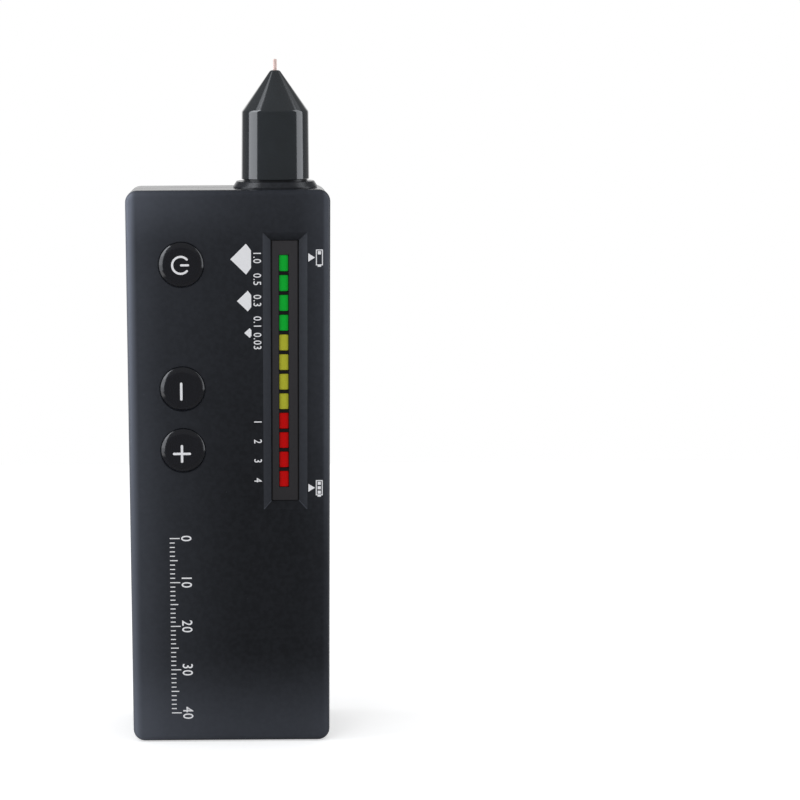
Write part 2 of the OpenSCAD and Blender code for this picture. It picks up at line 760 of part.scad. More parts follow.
module probe_spring() {
    color([0.7, 0.7, 0.72]) translate([nozzle_x, 0, 0])
        swept_wire(coil_frames(spring_r, spring_turns, flange_top_z + spring_wire / 2,
                               heater_z - spring_wire / 2), spring_wire / 2);
}

module probe_plug() {
    color([0.3, 0.3, 0.32]) translate([nozzle_x, 0, neck_z]) difference() {
        union() {
            cylinder(d = plug_seat_d - 2 * insert_clear, h = flange_top_z - neck_z);
            cylinder(d = spigot_d, h = plug_top_z - neck_z);
        }
        translate([0, 0, -over]) cylinder(d = lead_hole_d, h = plug_top_z - neck_z + 2 * over);
    }
}

module probe_leads() {
    color([0.7, 0.15, 0.12]) for (side = [-1, 1])
        swept_wire(lead_frames(lead_points(
            nozzle_x + side * lead_pitch / 2, 0, spigot_z,
            board_back_y + lead_d / 2, board_top_z - lead_on_board, neck_z, board_top_z)), lead_d / 2);
}

module push_button(z) {
    color([0.12, 0.125, 0.14]) toward_front(button_x, z) rotate_extrude() {
        translate([0, plunger_top]) square([stem_d / 2, stem_l + button_flange_t]);
        translate([0, front_in - button_flange_t]) square([button_flange_d / 2, button_flange_t]);
        translate([0, front_in - button_flange_t])
            edge_section(button_d / 2, button_flange_t + wall + button_out, button_rim_r);
    }
}

module switch_plunger(z) {
    color([0.85, 0.75, 0.35]) toward_front(button_x, z)
        translate([0, 0, switch_top - plunger_in]) cylinder(d = plunger_d, h = plunger_in + plunger_out);
}

module switch_body(z) {
    bore_h = plunger_in + button_travel + plunger_room;
    color([0.25, 0.25, 0.27]) toward_front(button_x, z) difference() {
        translate([0, 0, board_front]) standing_cube(switch_w, switch_w, switch_h);
        translate([0, 0, switch_top - bore_h])
            cylinder(d = plunger_d + 2 * plunger_clear, h = bore_h + over);
    }
}

// Slots through the window and the holder, one for each lamp
module lamp_slots() {
    for (i = [0:lamp_count - 1]) translate([-lamp_left, lamp_z(i) - bar_z, board_front - over])
        standing_cube(lamp_w + 2 * lamp_clear, lamp_l + 2 * lamp_clear, half_d);
}

module led_window() {
    color([0.16, 0.16, 0.17]) toward_front(bar_x, bar_z) difference() {
        union() {
            translate([0, 0, bar_floor - window_t]) standing_cube(window_w, window_l, window_t);
            translate([0, 0, bar_floor - window_t]) standing_cube(lip_w, lip_l, window_lip_t);
        }
        lamp_slots();
    }
}

module led_holder() {
    color([0.1, 0.1, 0.11]) toward_front(bar_x, bar_z) difference() {
        translate([0, 0, board_front]) standing_cube(lip_w, lip_l, bar_floor - window_t - board_front);
        lamp_slots();
    }
}

module lamp(i) {
    color(lamp_paints[lamp_kind(i)]) toward_front(bar_x - lamp_left, lamp_z(i))
        translate([0, 0, board_front]) standing_cube(lamp_w, lamp_l, bar_floor - lamp_sink - board_front);
}

module main_board() {
    notch = post_d / 2 + notch_gap;
    color([0.1, 0.35, 0.2]) difference() {
        translate([-board_w / 2, board_front_y, board_z]) cube([board_w, board_t, board_top_z - board_z]);
        for (p = screw_places) toward_front(p[0], p[1])
            translate([0, 0, board_back - over]) slab(2 * notch, 2 * notch, board_t + 2 * over, notch / 2);
        translate([-body_w / 2, board_front_y - over, screw_places[0][1]])
            cube([screw_from_side + notch, board_t + 2 * over, body_h]);
        translate([screw_places[1][0] - notch, board_front_y - over, 0])
            cube([body_w, board_t + 2 * over, screw_places[1][1]]);
        for (p = standoff_places) toward_front(p[0], p[1])
            translate([0, 0, board_back - over])
                cylinder(d = board_screw_d + 2 * screw_clear, h = board_t + 2 * over);
    }
}

// Flat part that stands on the rear face of the board
module board_part(x, z, w, l, t) {
    toward_back(x, z, board_back_y) standing_cube(w, l, t);
}

module controller_chip() {
    color([0.08, 0.08, 0.09])
        board_part(controller_x, controller_z, controller_w, controller_l, controller_t);
}

module charge_chip() {
    color([0.08, 0.08, 0.09]) board_part(0, charge_z, charge_w, charge_l, charge_t);
}

module board_passives() {
    color([0.6, 0.5, 0.4]) for (i = [0:passive_count - 1])
        board_part((i - (passive_count - 1) / 2) * passive_pitch, passive_z, passive_l, passive_w, passive_t);
}

module usb_shell() {
    color([0.75, 0.75, 0.77]) translate([0, usb_y, usb_recess]) difference() {
        slab(usb_w, usb_t, usb_l, usb_r);
        translate([0, 0, -over])
            slab(usb_w - 2 * usb_sheet, usb_t - 2 * usb_sheet, usb_l + 2 * over, usb_r - usb_sheet);
    }
}

module usb_tongue() {
    inset = usb_sheet + usb_root_clear;
    color([0.12, 0.12, 0.13]) translate([0, usb_y, usb_recess]) {
        translate([0, 0, usb_blade_recess]) standing_cube(usb_blade_w, usb_blade_t, usb_l - usb_blade_recess);
        translate([0, 0, usb_l - usb_root_l])
            slab(usb_w - 2 * inset, usb_t - 2 * inset, usb_root_l, usb_r - inset);
    }
}

module battery_cell() {
    color([0.7, 0.72, 0.75]) toward_back(battery_x, battery_z + battery_l / 2, battery_y)
        slab(battery_w, battery_l, battery_t, battery_corner_r, battery_edge_r);
}

module battery_tape() {
    color([0.15, 0.15, 0.15]) board_part(battery_x, battery_z + battery_l / 2,
        battery_w - 2 * tape_inset, battery_l - 2 * tape_inset, tape_t);
}

module battery_leads() {
    first_x = battery_x - battery_w / 2 + battery_lead_in;
    bend_from = battery_top_z + lead_d;
    bend_to = bend_from + battery_lead_rise;
    color([0.75, 0.1, 0.1]) for (i = [0, 1])
        swept_wire(lead_frames(lead_points(
            first_x + i * lead_pitch, battery_y + battery_t / 2, battery_top_z,
            board_back_y + lead_d / 2, bend_to + lead_on_board, bend_from, bend_to)), lead_d / 2);
}

module buzzer() {
    color([0.1, 0.1, 0.11]) toward_back(sound_x, sound_z, board_back_y) difference() {
        cylinder(d = buzzer_d, h = buzzer_h);
        translate([0, 0, buzzer_h - buzzer_port_h]) cylinder(d = buzzer_port_d, h = buzzer_port_h + over);
    }
}

module buzzer_seal() {
    color([0.2, 0.2, 0.2]) toward_back(sound_x, sound_z, seal_y) difference() {
        cylinder(d = buzzer_d, h = front_in - seal_y);
        translate([0, 0, -over]) cylinder(d = buzzer_d - 2 * seal_w, h = half_d);
    }
}

module contact_plate() {
    color([0.8, 0.8, 0.8]) toward_back(0, plate_z, plate_back_y)
        slab(plate_w, plate_l, plate_t, plate_corner_r, plate_edge_r);
}

module plate_spring() {
    color([0.8, 0.68, 0.4]) toward_back(contact_x, contact_z)
        swept_wire(coil_frames(contact_r, contact_turns, board_back_y + contact_wire / 2,
                               plate_back_y - contact_wire / 2), contact_wire / 2);
}

module case_screws() {
    color([0.75, 0.75, 0.75]) for (p = screw_places) toward_back(p[0], p[1], screw_seat_y)
        cross_screw(screw_d, screw_l, screw_head_d, screw_head_h);
}

module board_screws() {
    color([0.7, 0.7, 0.7]) for (p = standoff_places) toward_back(p[0], p[1], board_back_y)
        cross_screw(board_screw_d, board_screw_l, board_screw_head_d, board_screw_head_h);
}

front_cover();
rear_cover();
nozzle_collar();
probe_nozzle();
probe_guide();
probe_tip();
probe_heater();
probe_spring();
probe_plug();
probe_leads();
led_window();
led_holder();
main_board();
controller_chip();
charge_chip();
board_passives();
usb_shell();
usb_tongue();
battery_cell();
battery_tape();
battery_leads();
buzzer();
buzzer_seal();
contact_plate();
plate_spring();
case_screws();
board_screws();
for (i = [0:len(button_names) - 1]) {
    push_button(button_z[i]);
    switch_plunger(button_z[i]);
    switch_body(button_z[i]);
}
for (i = [0:lamp_count - 1])
    lamp(i);
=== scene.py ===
"""Looks of a handheld gemstone tester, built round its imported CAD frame.

Run as a script it finishes the CAD nodes that are shown, makes the nozzle, collar, pin, spring, leads,
buttons, lamps, screws and print as computed surfaces, and sets a plain studio with one camera.
All sizes are in metres, in the frame's own axes: X across the front, -Y out of the front, Z up.
"""

import json
import math

import bmesh
import bpy
import numpy as np
from bpy.props import FloatProperty, FloatVectorProperty, IntProperty, PointerProperty
from mathutils import Matrix, Vector


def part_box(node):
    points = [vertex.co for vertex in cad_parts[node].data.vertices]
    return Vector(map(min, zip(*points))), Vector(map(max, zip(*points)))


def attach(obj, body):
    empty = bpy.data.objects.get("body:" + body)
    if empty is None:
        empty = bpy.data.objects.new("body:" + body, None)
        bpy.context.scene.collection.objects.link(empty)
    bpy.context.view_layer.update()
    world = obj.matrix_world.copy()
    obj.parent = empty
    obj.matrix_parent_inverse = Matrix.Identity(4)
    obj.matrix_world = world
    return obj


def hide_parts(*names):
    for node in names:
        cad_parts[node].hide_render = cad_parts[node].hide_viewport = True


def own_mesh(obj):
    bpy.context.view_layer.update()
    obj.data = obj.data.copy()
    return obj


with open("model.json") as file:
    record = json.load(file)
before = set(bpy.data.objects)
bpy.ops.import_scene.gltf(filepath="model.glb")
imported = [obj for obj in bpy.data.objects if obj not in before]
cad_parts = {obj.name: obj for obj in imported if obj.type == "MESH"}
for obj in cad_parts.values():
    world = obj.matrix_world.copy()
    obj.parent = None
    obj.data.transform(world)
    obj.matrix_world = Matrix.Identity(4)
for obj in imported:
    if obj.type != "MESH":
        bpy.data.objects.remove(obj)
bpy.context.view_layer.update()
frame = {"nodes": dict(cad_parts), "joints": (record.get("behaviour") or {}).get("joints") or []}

bl_info = {
    "name": "Gemstone tester",
    "version": (1, 0, 0),
    "blender": (4, 5, 0),
    "location": "3D View > Sidebar > Tester",
    "description": "Builds the visible surfaces, finishes and stage of a handheld gemstone tester",
    "category": "Add Mesh",
}

MM = 0.001
CASE = "case"
PROBE = "probe"
BUTTONS = ("power", "minus", "plus")
LAMP_COLOURS = ("green", "yellow", "red")
LAMPS_OF_A_COLOUR = 4
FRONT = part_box("front_cover")
FRONT_Y = FRONT[0].y
BACK_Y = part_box("rear_cover")[1].y
TOP_Z = FRONT[1].z
HALF_W = FRONT[1].x


def middle(node):
    """Centre of a CAD node's box."""
    low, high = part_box(node)
    return (low + high) / 2


# Settings that a user would change


def length(name, description, millimetres):
    """Length property whose default is given in millimetres."""
    return FloatProperty(name=name, description=description, default=millimetres * MM, unit="LENGTH",
                         precision=6)


def colour(name, description, value):
    """Colour property with linear values."""
    return FloatVectorProperty(name=name, description=description, default=value, subtype="COLOR", size=3,
                               min=0, max=1)


def share(name, description, value):
    """Property from 0 to 1."""
    return FloatProperty(name=name, description=description, default=value, min=0, max=1, subtype="FACTOR")


def amount(name, description, value):
    """Plain number property."""
    return FloatProperty(name=name, description=description, default=value, min=0)


class TesterSizes(bpy.types.PropertyGroup):
    """Sizes of the pieces that stand for or sit on CAD nodes."""

    ink: length("Ink", "Thickness of the printed ink", 0.02)
    edge_radius: length("Case edge", "Radius of the edge round the front and the back", 1.4)
    shoulder_radius: length("Nozzle shoulder", "Radius of the edge between barrel and cone", 1)
    tip_radius: length("Nozzle end", "Radius of the edge round the end of the cone", 0.8)
    button_roll: length("Button roll", "Width of the band over which a button's top rolls off", 1.4)
    button_edge: length("Button edge", "Width of the small round at a button's rim", 0.1)
    button_dish: length("Button dish", "Depth of the hollow in a button's top", 0.05)
    lamp_crown: length("Lamp crown", "How far a lamp's face bulges", 0.05)
    wire: length("Spring wire", "Diameter of the probe spring's wire", 0.6)
    lead: length("Lead", "Diameter of a lead", 0.6)
    around: IntProperty(name="Steps around", description="Faces round a turned piece", default=96, min=24)


class TesterColours(bpy.types.PropertyGroup):
    """Linear colours and mean roughness of the materials."""

    case: colour("Case", "Moulded case", (0.0129, 0.0142, 0.0175))
    nozzle: colour("Nozzle", "Glossy nozzle", (0.0138, 0.0180, 0.0218))
    button: colour("Buttons", "Push buttons", (0.0050, 0.0056, 0.0092))
    window: colour("Window", "Strip round the lamps", (0.039, 0.037, 0.041))
    green: colour("Green lamps", "Upper lamps", (0.004, 0.41, 0.032))
    yellow: colour("Yellow lamps", "Middle lamps", (0.44, 0.44, 0.032))
    red: colour("Red lamps", "Lower lamps", (0.53, 0.0015, 0.0015))
    ink: colour("Ink", "Printed legends", (0.86, 0.86, 0.88))
    copper: colour("Copper", "Probe pin", (0.95, 0.70, 0.65))
    plate: colour("Plate", "Brushed plate", (0.66, 0.655, 0.645))
    steel: colour("Steel", "Screws, springs and socket", (0.62, 0.62, 0.63))
    case_roughness: share("Case roughness", "Mean roughness of the case", 0.40)
    nozzle_roughness: share("Nozzle roughness", "Mean roughness of the nozzle", 0.12)


class TesterStage(bpy.types.PropertyGroup):
    """Camera and light."""

    lens: FloatProperty(name="Lens", description="Focal length on a 36 mm sensor", default=84,
                        unit="CAMERA")
    camera_right: length("Camera right", "Place of the camera across the front", 0.75)
    camera_away: length("Camera distance", "Distance of the camera in front of the middle plane", 411)
    camera_up: length("Camera height", "Height of the camera above the floor", 144.75)
    pitch: FloatProperty(name="Pitch", description="How far the camera looks down",
                         default=math.radians(9.527), subtype="ANGLE")
    roll: FloatProperty(name="Roll", description="How far the camera leans to its right",
                        default=math.radians(0.41), subtype="ANGLE")
    shift: FloatProperty(name="Shift", description="Sideways shift in frame widths", default=0.2093)
    left_strip: amount("Left strip", "Radiance of the left softboxes at a share of 1", 1.9)
    right_strip: amount("Right strip", "Radiance of the right softboxes at a share of 1", 1.5)
    key_light: amount("Key light", "Radiance of the softbox above the camera's left", 2.0)
    ambient: amount("Ambient", "Light from all round", 0.62)
    mirror: share("Mirror", "How bright the camera's side looks in a mirror", 0.15)


GROUPS = {"tester_sizes": TesterSizes, "tester_colours": TesterColours, "tester_stage": TesterStage}


def sizes():
    """The scene's sizes."""
    return bpy.context.scene.tester_sizes


def colours():
    """The scene's colours."""
    return bpy.context.scene.tester_colours


# Shader expressions


class Signal:
    """Output of a shader node that takes part in Python expressions: each operator adds a Math node."""

    def __init__(self, tree, socket):
        self.tree = tree
        self.socket = socket

    def output(self, name):
        """Another output of the same node."""
        return Signal(self.tree, self.socket.node.outputs[name])

    def math(self, operation, first, second=0.0):
        """Math node with that operation."""
        return self.tree.node("ShaderNodeMath", {"operation": operation}, {0: first, 1: second})

    def __add__(self, other):
        return self.math("ADD", self, other)

    def __radd__(self, other):
        return self.math("ADD", other, self)

    def __sub__(self, other):
        return self.math("SUBTRACT", self, other)

    def __rsub__(self, other):
        return self.math("SUBTRACT", other, self)

    def __mul__(self, other):
        return self.math("MULTIPLY", self, other)

    def __rmul__(self, other):
        return self.math("MULTIPLY", other, self)

    def __truediv__(self, other):
        return self.math("DIVIDE", self, other)

    def __rtruediv__(self, other):
        return self.math("DIVIDE", other, self)

    def __abs__(self):
        return self.math("ABSOLUTE", self)

    def below(self, limit):
        """1 where the value is below the limit, else 0."""
        return self.math("LESS_THAN", self, limit)

    def most(self, other):
        """The larger of two values."""
        return self.math("MAXIMUM", self, other)

    def ramp(self, low, high, start=0.0, end=1.0):
        """Runs smoothly from start to end as the value goes from low to high."""
        return self.tree.node("ShaderNodeMapRange", {"interpolation_type": "SMOOTHSTEP"},
                              {"Value": self, "From Min": low, "From Max": high, "To Min": start,
                               "To Max": end})

    def fade(self, strength, reach):
        """Falls smoothly from the strength to 0 as the value goes from 0 to the reach."""
        return self.ramp(0.0, reach, strength, 0.0)


class NodeTree:
    """Shader tree in which one method makes any node."""

    def __init__(self, tree):
        self.tree = tree

    def node(self, kind, settings=None, inputs=None):
        """Node of that kind, with its settings set first and then its sockets set or linked."""
        made = self.tree.nodes.new(kind)
        for name, value in (settings or {}).items():
            setattr(made, name, value)
        for name, value in (inputs or {}).items():
            self.feed(made.inputs[name], value)
        return Signal(self, made.outputs[0])

    def feed(self, socket, value):
        """Links a Signal to a socket, or sets the socket's own value."""
        if isinstance(value, Signal):
            self.tree.links.new(value.socket, socket)
        elif socket.type == "RGBA" and len(value) == 3:
            socket.default_value = (*value, 1)
        else:
            socket.default_value = value

    def mix(self, factor, first, second):
        """Colour between two colours, by the sockets that a Mix node keeps for colours."""
        mixed = self.node("ShaderNodeMix", {"data_type": "RGBA"}, {0: factor, 6: first, 7: second})
        return Signal(self, mixed.socket.node.outputs[2])


def lighter(value, factor):
    """Colour times a factor."""
    return tuple(min(1.0, channel * factor) for channel in value)


class Finish(NodeTree):
    """Material of one Principled shader whose constant sockets are set when it is made."""

    def __init__(self, name, constants=None):
        self.name = name
        self.material = bpy.data.materials.new(name)
        self.material.use_nodes = True
        super().__init__(self.material.node_tree)
        self.shader = self.tree.nodes["Principled BSDF"]
        for socket, value in (constants or {}).items():
            self.set(socket, value)

    def set(self, socket, value):
        """Sets or links one socket of the shader."""
        self.feed(self.shader.inputs[socket], value)

    def place(self, stretch=(1, 1, 1)):
        """Object coordinates, stretched along the axes."""
        coordinates = self.node("ShaderNodeTexCoord").output("Object")
        if stretch == (1, 1, 1):
            return coordinates
        divided = tuple(1 / factor for factor in stretch)
        return self.node("ShaderNodeMapping", None, {"Vector": coordinates, "Scale": divided})

    def axis(self, name):
        """One object coordinate, in metres."""
        split = self.node("ShaderNodeSeparateXYZ", None, {"Vector": self.place()})
        return split.output(name)

    def noise(self, size, detail=2.0, stretch=(1, 1, 1)):
        """Cloudy pattern from 0 to 1 whose features are about size across."""
        return self.node("ShaderNodeTexNoise", {"noise_dimensions": "3D"},
                         {"Vector": self.place(stretch), "Scale": 1 / size, "Detail": detail})

    def specks(self, size, radius):
        """1 inside small round specks that lie about size apart, else 0."""
        cells = self.node("ShaderNodeTexVoronoi", {"feature": "F1"},
                          {"Vector": self.place(), "Scale": 1 / size, "Randomness": 1.0})
        return cells.output("Distance").below(radius / size)

    def relief(self, height, depth):
        """Feeds the normal with a bump of that depth."""
        bump = self.node("ShaderNodeBump", None, {"Strength": 1.0, "Distance": depth, "Height": height})
        self.set("Normal", bump)

    def tone(self, pattern, base, dark, light):
        """Colour that goes from a dark to a light share of the base as the pattern goes from 0 to 1."""
        return self.mix(pattern, lighter(base, dark), lighter(base, light))

    def sheen(self, pattern, roughness, spread):
        """Feeds the roughness with its mean plus or minus half of what the pattern spreads it by."""
        self.set("Roughness", roughness - spread / 2 + pattern * spread)


# Painted light on the front and the back, lighter towards the edges where the light falls: each edge's
# share and how far in it fades out
PAINTED_LIGHT_SHARE = 0.23
LEFT_LIGHT = (0.55, 9 * MM)
WIDE_LEFT_LIGHT = (0.6, 27 * MM)
RIGHT_LIGHT = (0.5, 8 * MM)
TOP_LIGHT = (1.0, 13 * MM)
DEEP_TOP_LIGHT = (0.26, 73 * MM)
BOTTOM_LIGHT = (0.95, 22 * MM)
PAINTED_LIGHT_DEPTH = 2 * MM

# Painted highlights along the left and right rims: where in from its edge each one starts and stops to fade
LEFT_RIM_HIGHLIGHT = (0.6 * MM, 2.4 * MM)
RIGHT_RIM_HIGHLIGHT = (1.0 * MM, 1.8 * MM)

# How the painted light changes up or across the case: two places and its share at each of them
WIDE_LEFT_UPWARDS = (55 * MM, 90 * MM, 1.0, 0.55)
LEFT_HIGHLIGHT_UPWARDS = (30 * MM, TOP_Z, 0.33, 0.85)
RIGHT_UPWARDS = (40 * MM, 75 * MM, 0.25, 1.0)
TOP_ACROSS = (-HALF_W, HALF_W / 2, 1.0, 0.2)

# Slopes round the light bar, with their painted light at the right and at the foot of the left one, and the
# painted highlight along the mitres
BAR_HALF = 5 * MM
BAR_DEPTH = 1.3 * MM
BAR_SKIN = 0.05 * MM
BAR_RIGHT_LIGHT = 0.4
BAR_LEFT_FOOT_LIGHT = 0.6
MITRE_HIGHLIGHT_HALF = 0.13 * MM

# Full painted light is so many times as light as the case, and polish takes so much off its roughness
FULL_LIGHT_GAIN = 12
POLISH = 0.2
POLISH_REACH = 1.5 * MM

# Flow marks and dust on moulded pieces
FLOW_SIZE = 9 * MM
FLOW_SHARE = 0.4
FLOW_SHEEN = 0.06
DUST_SPACING = 4.5 * MM
DUST_RADIUS = 0.05 * MM
DUST_SHARE = 0.25
DUST_COLOUR = (0.35, 0.35, 0.36)

# Painted shade along the gap at the long edges of the light bar's window, and how much darker its foot is
WINDOW_LIP = 0.9 * MM
WINDOW_GAP_SHADE_WIDTH = 0.3 * MM
WINDOW_FOOT = 0.25


def bar_sides(x, y, z):
    """Painted light on the slopes that lead down to the light bar's window: up to 1 on the long left one,
    less on the right one, and a painted highlight along the two lower mitres."""
    low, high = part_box("led_window")
    centre, half = (low + high) / 2, (high - low) / 2
    across, along = abs(x - centre.x), abs(z - centre.z)
    sunk = abs(y - FRONT_Y - BAR_DEPTH / 2).below(BAR_DEPTH / 2 - BAR_SKIN)
    past_mitre = along - across - (half.z - half.x)
    # Painted light on the slopes, and a painted highlight along the lower mitres
    left = x.below(centre.x) * z.ramp(low.z, high.z, BAR_LEFT_FOOT_LIGHT, 1.0)
    mitre_highlight = abs(past_mitre).below(MITRE_HIGHLIGHT_HALF) * z.below(centre.z)
    slopes = past_mitre.below(0.0) * (BAR_RIGHT_LIGHT + (1 - BAR_RIGHT_LIGHT) * left) + mitre_highlight
    return slopes * across.below(BAR_HALF) * sunk


def handling(finish):
    """Painted light and polish on the case, from 0 for none to 1 or more for full: the painted light
    lightens the outer parts of the front and the back where the light falls, most of all their left rim,
    with painted highlights along the left and right rims and painted light on the slopes of the light bar,
    and the polish that hands leave smooths the two ends."""
    x, y, z = (finish.axis(name) for name in "XYZ")
    from_left, from_right, from_top = x + HALF_W, HALF_W - x, TOP_Z - z
    # Painted light towards the left, right, top and bottom edges, where the light falls on the case, with a
    # painted highlight on the right rim
    left = from_left.fade(*LEFT_LIGHT) + from_left.fade(*WIDE_LEFT_LIGHT) * z.ramp(*WIDE_LEFT_UPWARDS)
    right = from_right.fade(*RIGHT_LIGHT) + from_right.ramp(*RIGHT_RIM_HIGHLIGHT, 1.0, 0.0)
    top = from_top.fade(*TOP_LIGHT) * x.ramp(*TOP_ACROSS) + from_top.fade(*DEEP_TOP_LIGHT)
    edges = left + right * z.ramp(*RIGHT_UPWARDS) + top + z.fade(*BOTTOM_LIGHT)
    # Painted highlight along the left rim
    rim = from_left.ramp(*LEFT_RIM_HIGHLIGHT, 1.0, 0.0) * z.ramp(*LEFT_HIGHLIGHT_UPWARDS)
    faces = (y - FRONT_Y).fade(1.0, PAINTED_LIGHT_DEPTH).most((BACK_Y - y).fade(1.0, PAINTED_LIGHT_DEPTH))
    painted_light = (edges * PAINTED_LIGHT_SHARE + rim) * faces + bar_sides(x, y, z) * PAINTED_LIGHT_SHARE
    polish = from_top.fade(1.0, POLISH_REACH).most(z.fade(1.0, POLISH_REACH))
    return painted_light, polish


def moulded(name, base, roughness, grain=0.22 * MM, depth=0.006 * MM, spread=0.25, constants=None,
            light_and_polish=False):
    """Moulded plastic: a fine spark-eroded grain, cloudy flow marks, a few specks of dust, and where asked
    for, painted light towards the lit edges and polish."""
    finish = Finish(name, constants)
    texture = finish.noise(grain, 3)
    mottle = finish.noise(4 * grain, 2).ramp(0.3, 0.7)
    flow = finish.noise(FLOW_SIZE, 2)
    dust = finish.specks(DUST_SPACING, DUST_RADIUS)
    tone = finish.tone(flow * FLOW_SHARE + mottle * (1 - FLOW_SHARE), base, 1 - spread, 1 + spread)
    rough = roughness - FLOW_SHEEN + (texture + flow) * FLOW_SHEEN
    if light_and_polish:
        painted_light, polish = handling(finish)
        # Painted light: the base colour is lightened where the case's edges catch the light
        tone = finish.mix(painted_light, tone, lighter(base, FULL_LIGHT_GAIN))
        rough = rough - polish * POLISH
    finish.set("Base Color", finish.mix(dust * DUST_SHARE, tone, DUST_COLOUR))
    finish.set("Roughness", rough)
    finish.relief(texture, depth)
    return finish


def glossy(name, base, roughness, constants=None):
    """Polished plastic: faint waves of the mould, fine drag lines and hardly any grain."""
    finish = Finish(name, constants)
    wave = finish.noise(3 * MM, 1)
    drag = finish.noise(0.15 * MM, 2, (1, 1, 20))
    finish.set("Base Color", finish.tone(wave, base, 0.85, 1.15))
    finish.sheen(drag, roughness, 0.04)
    finish.relief(wave, 0.002 * MM)
    return finish


def brushed(name, base, roughness, along, constants=None):
    """Brushed metal: hairlines that run along one axis, in colour, roughness and relief."""
    finish = Finish(name, {"Metallic": 1.0, **(constants or {})})
    hair = finish.noise(0.07 * MM, 3, along)
    streak = finish.noise(1.2 * MM, 2, along)
    lines = hair * 0.6 + streak * 0.4
    finish.set("Base Color", finish.tone(lines, base, 0.86, 1.12))
    finish.sheen(hair, roughness, 0.16)
    finish.relief(hair, 0.004 * MM)
    return finish


def metal(name, base, roughness, constants=None):
    """Plain plated metal with small tarnished clouds and fine scratches."""
    finish = Finish(name, {"Metallic": 1.0, **(constants or {})})
    cloud = finish.noise(0.9 * MM, 3)
    scratch = finish.noise(0.08 * MM, 2, (8, 1, 1))
    finish.set("Base Color", finish.tone(cloud, base, 0.85, 1.1))
    finish.sheen(scratch, roughness, 0.1)
    finish.relief(scratch, 0.002 * MM)
    return finish


def printed(name, base):
    """Screen-printed ink: nearly even, with a slight mottle and a soft sheen."""
    finish = Finish(name, {"Specular IOR Level": 0.3})
    mottle = finish.noise(0.25 * MM, 3)
    finish.set("Base Color", finish.tone(mottle, base, 0.93, 1.05))
    finish.sheen(mottle, 0.55, 0.2)
    finish.relief(mottle, 0.003 * MM)
    return finish


def lamp_finish(name, base, centre_x, half_width):
    """Tinted lens with a painted glow that makes it brightest along its middle, over a finely ribbed
    diffuser.
    """
    finish = Finish(name, {"Specular IOR Level": 0.1})
    off = abs(finish.axis("X") - centre_x) / half_width
    # Painted glow, brightest along the lens's middle
    painted_glow = off.ramp(0.25, 1.0, 1.0, 0.0)
    rib = finish.noise(0.18 * MM, 1, (6, 1, 1))
    tint = finish.tone(painted_glow, base, 0.8, 1.12)
    finish.set("Base Color", finish.mix(rib * 0.15, tint, lighter(base, 0.5)))
    finish.sheen(rib, 0.3, 0.1)
    finish.relief(rib, 0.002 * MM)
    return finish


def window_finish(name, base, low, high):
    """Satin strip of the light bar, a little darker downwards, nearly black with painted shade along the
    gap at its two long edges, and nearly black in the column from low to high where the lamps sit."""
    finish = Finish(name, {"Specular IOR Level": 0.4})
    centre, half = (low + high) / 2, (high - low) / 2
    x, z = finish.axis("X"), finish.axis("Z")
    column = abs(x - centre.x).below(half.x) * abs(z - centre.z).below(half.z)
    window_low, window_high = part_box("led_window")
    edge = (window_high.x - window_low.x) / 2 - WINDOW_LIP
    # Painted shade along the gap at the window's long edges
    rim = abs(x - middle("led_window").x).ramp(edge - WINDOW_GAP_SHADE_WIDTH, edge - WINDOW_GAP_SHADE_WIDTH / 3)
    foot = (z - window_low.z).fade(WINDOW_FOOT, window_high.z - window_low.z)
    grain = finish.noise(0.2 * MM, 3)
    tone = finish.tone(grain, base, 0.9, 1.1)
    finish.set("Base Color", finish.mix(column.most(rim).most(foot), tone, lighter(base, 0.2)))
    finish.sheen(grain, 0.48, 0.12)
    finish.relief(grain, 0.004 * MM)
    return finish


def board_finish(name):
    """Solder mask over copper tracks that run in a grid of short lanes."""
    finish = Finish(name, {"Coat Roughness": 0.2})
    lanes = finish.node("ShaderNodeTexBrick", {"offset": 0.5, "squash": 1.0},
                        {"Vector": finish.place(), "Color1": (0.006, 0.07, 0.02),
                         "Color2": (0.008, 0.085, 0.026), "Mortar": (0.02, 0.17, 0.06),
                         "Scale": 1 / (6 * MM), "Mortar Size": 0.04})
    finish.set("Base Color", lanes)
    finish.sheen(finish.noise(0.5 * MM), 0.375, 0.15)
    return finish


def foil_finish(name):
    """Aluminium pouch of the cell, with soft creases."""
    finish = Finish(name, {"Metallic": 1.0})
    crease = finish.noise(3 * MM, 3, (1, 1, 3))
    finish.set("Base Color", finish.mix(crease, (0.52, 0.53, 0.55), (0.68, 0.69, 0.71)))
    finish.sheen(crease, 0.375, 0.15)
    finish.relief(crease, 0.06 * MM)
    return finish


# Meshes: a solid is an array of points and a list of faces
MERGE = 0.0002 * MM
SUPPORT = 0.06 * MM


def add_piece(name, solid, body, finish, replaces=(), sharp=35.0):
    """Object at the origin from a solid: doubles merged, faces outwards, riding on its body."""
    points, faces = solid
    mesh = bpy.data.meshes.new(name)
    mesh.from_pydata(points.tolist(), [], faces)
    shell = bmesh.new()
    shell.from_mesh(mesh)
    bmesh.ops.remove_doubles(shell, verts=shell.verts, dist=MERGE)
    bmesh.ops.dissolve_degenerate(shell, edges=shell.edges, dist=MERGE)
    bmesh.ops.recalc_face_normals(shell, faces=shell.faces)
    shell.to_mesh(mesh)
    shell.free()
    mesh.polygons.foreach_set("use_smooth", np.ones(len(mesh.polygons), bool))
    mesh.set_sharp_from_angle(angle=math.radians(sharp))
    mesh.materials.append(finish.material)
    piece = bpy.data.objects.new(name, mesh)
    bpy.context.scene.collection.objects.link(piece)
    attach(piece, body)
    if replaces:
        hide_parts(*replaces)
    return piece


def dress(nodes, finish):
    """Gives CAD nodes a finish in place of their packed one."""
    for name in nodes:
        materials = frame["nodes"][name].data.materials
        materials.clear()
        materials.append(finish.material)


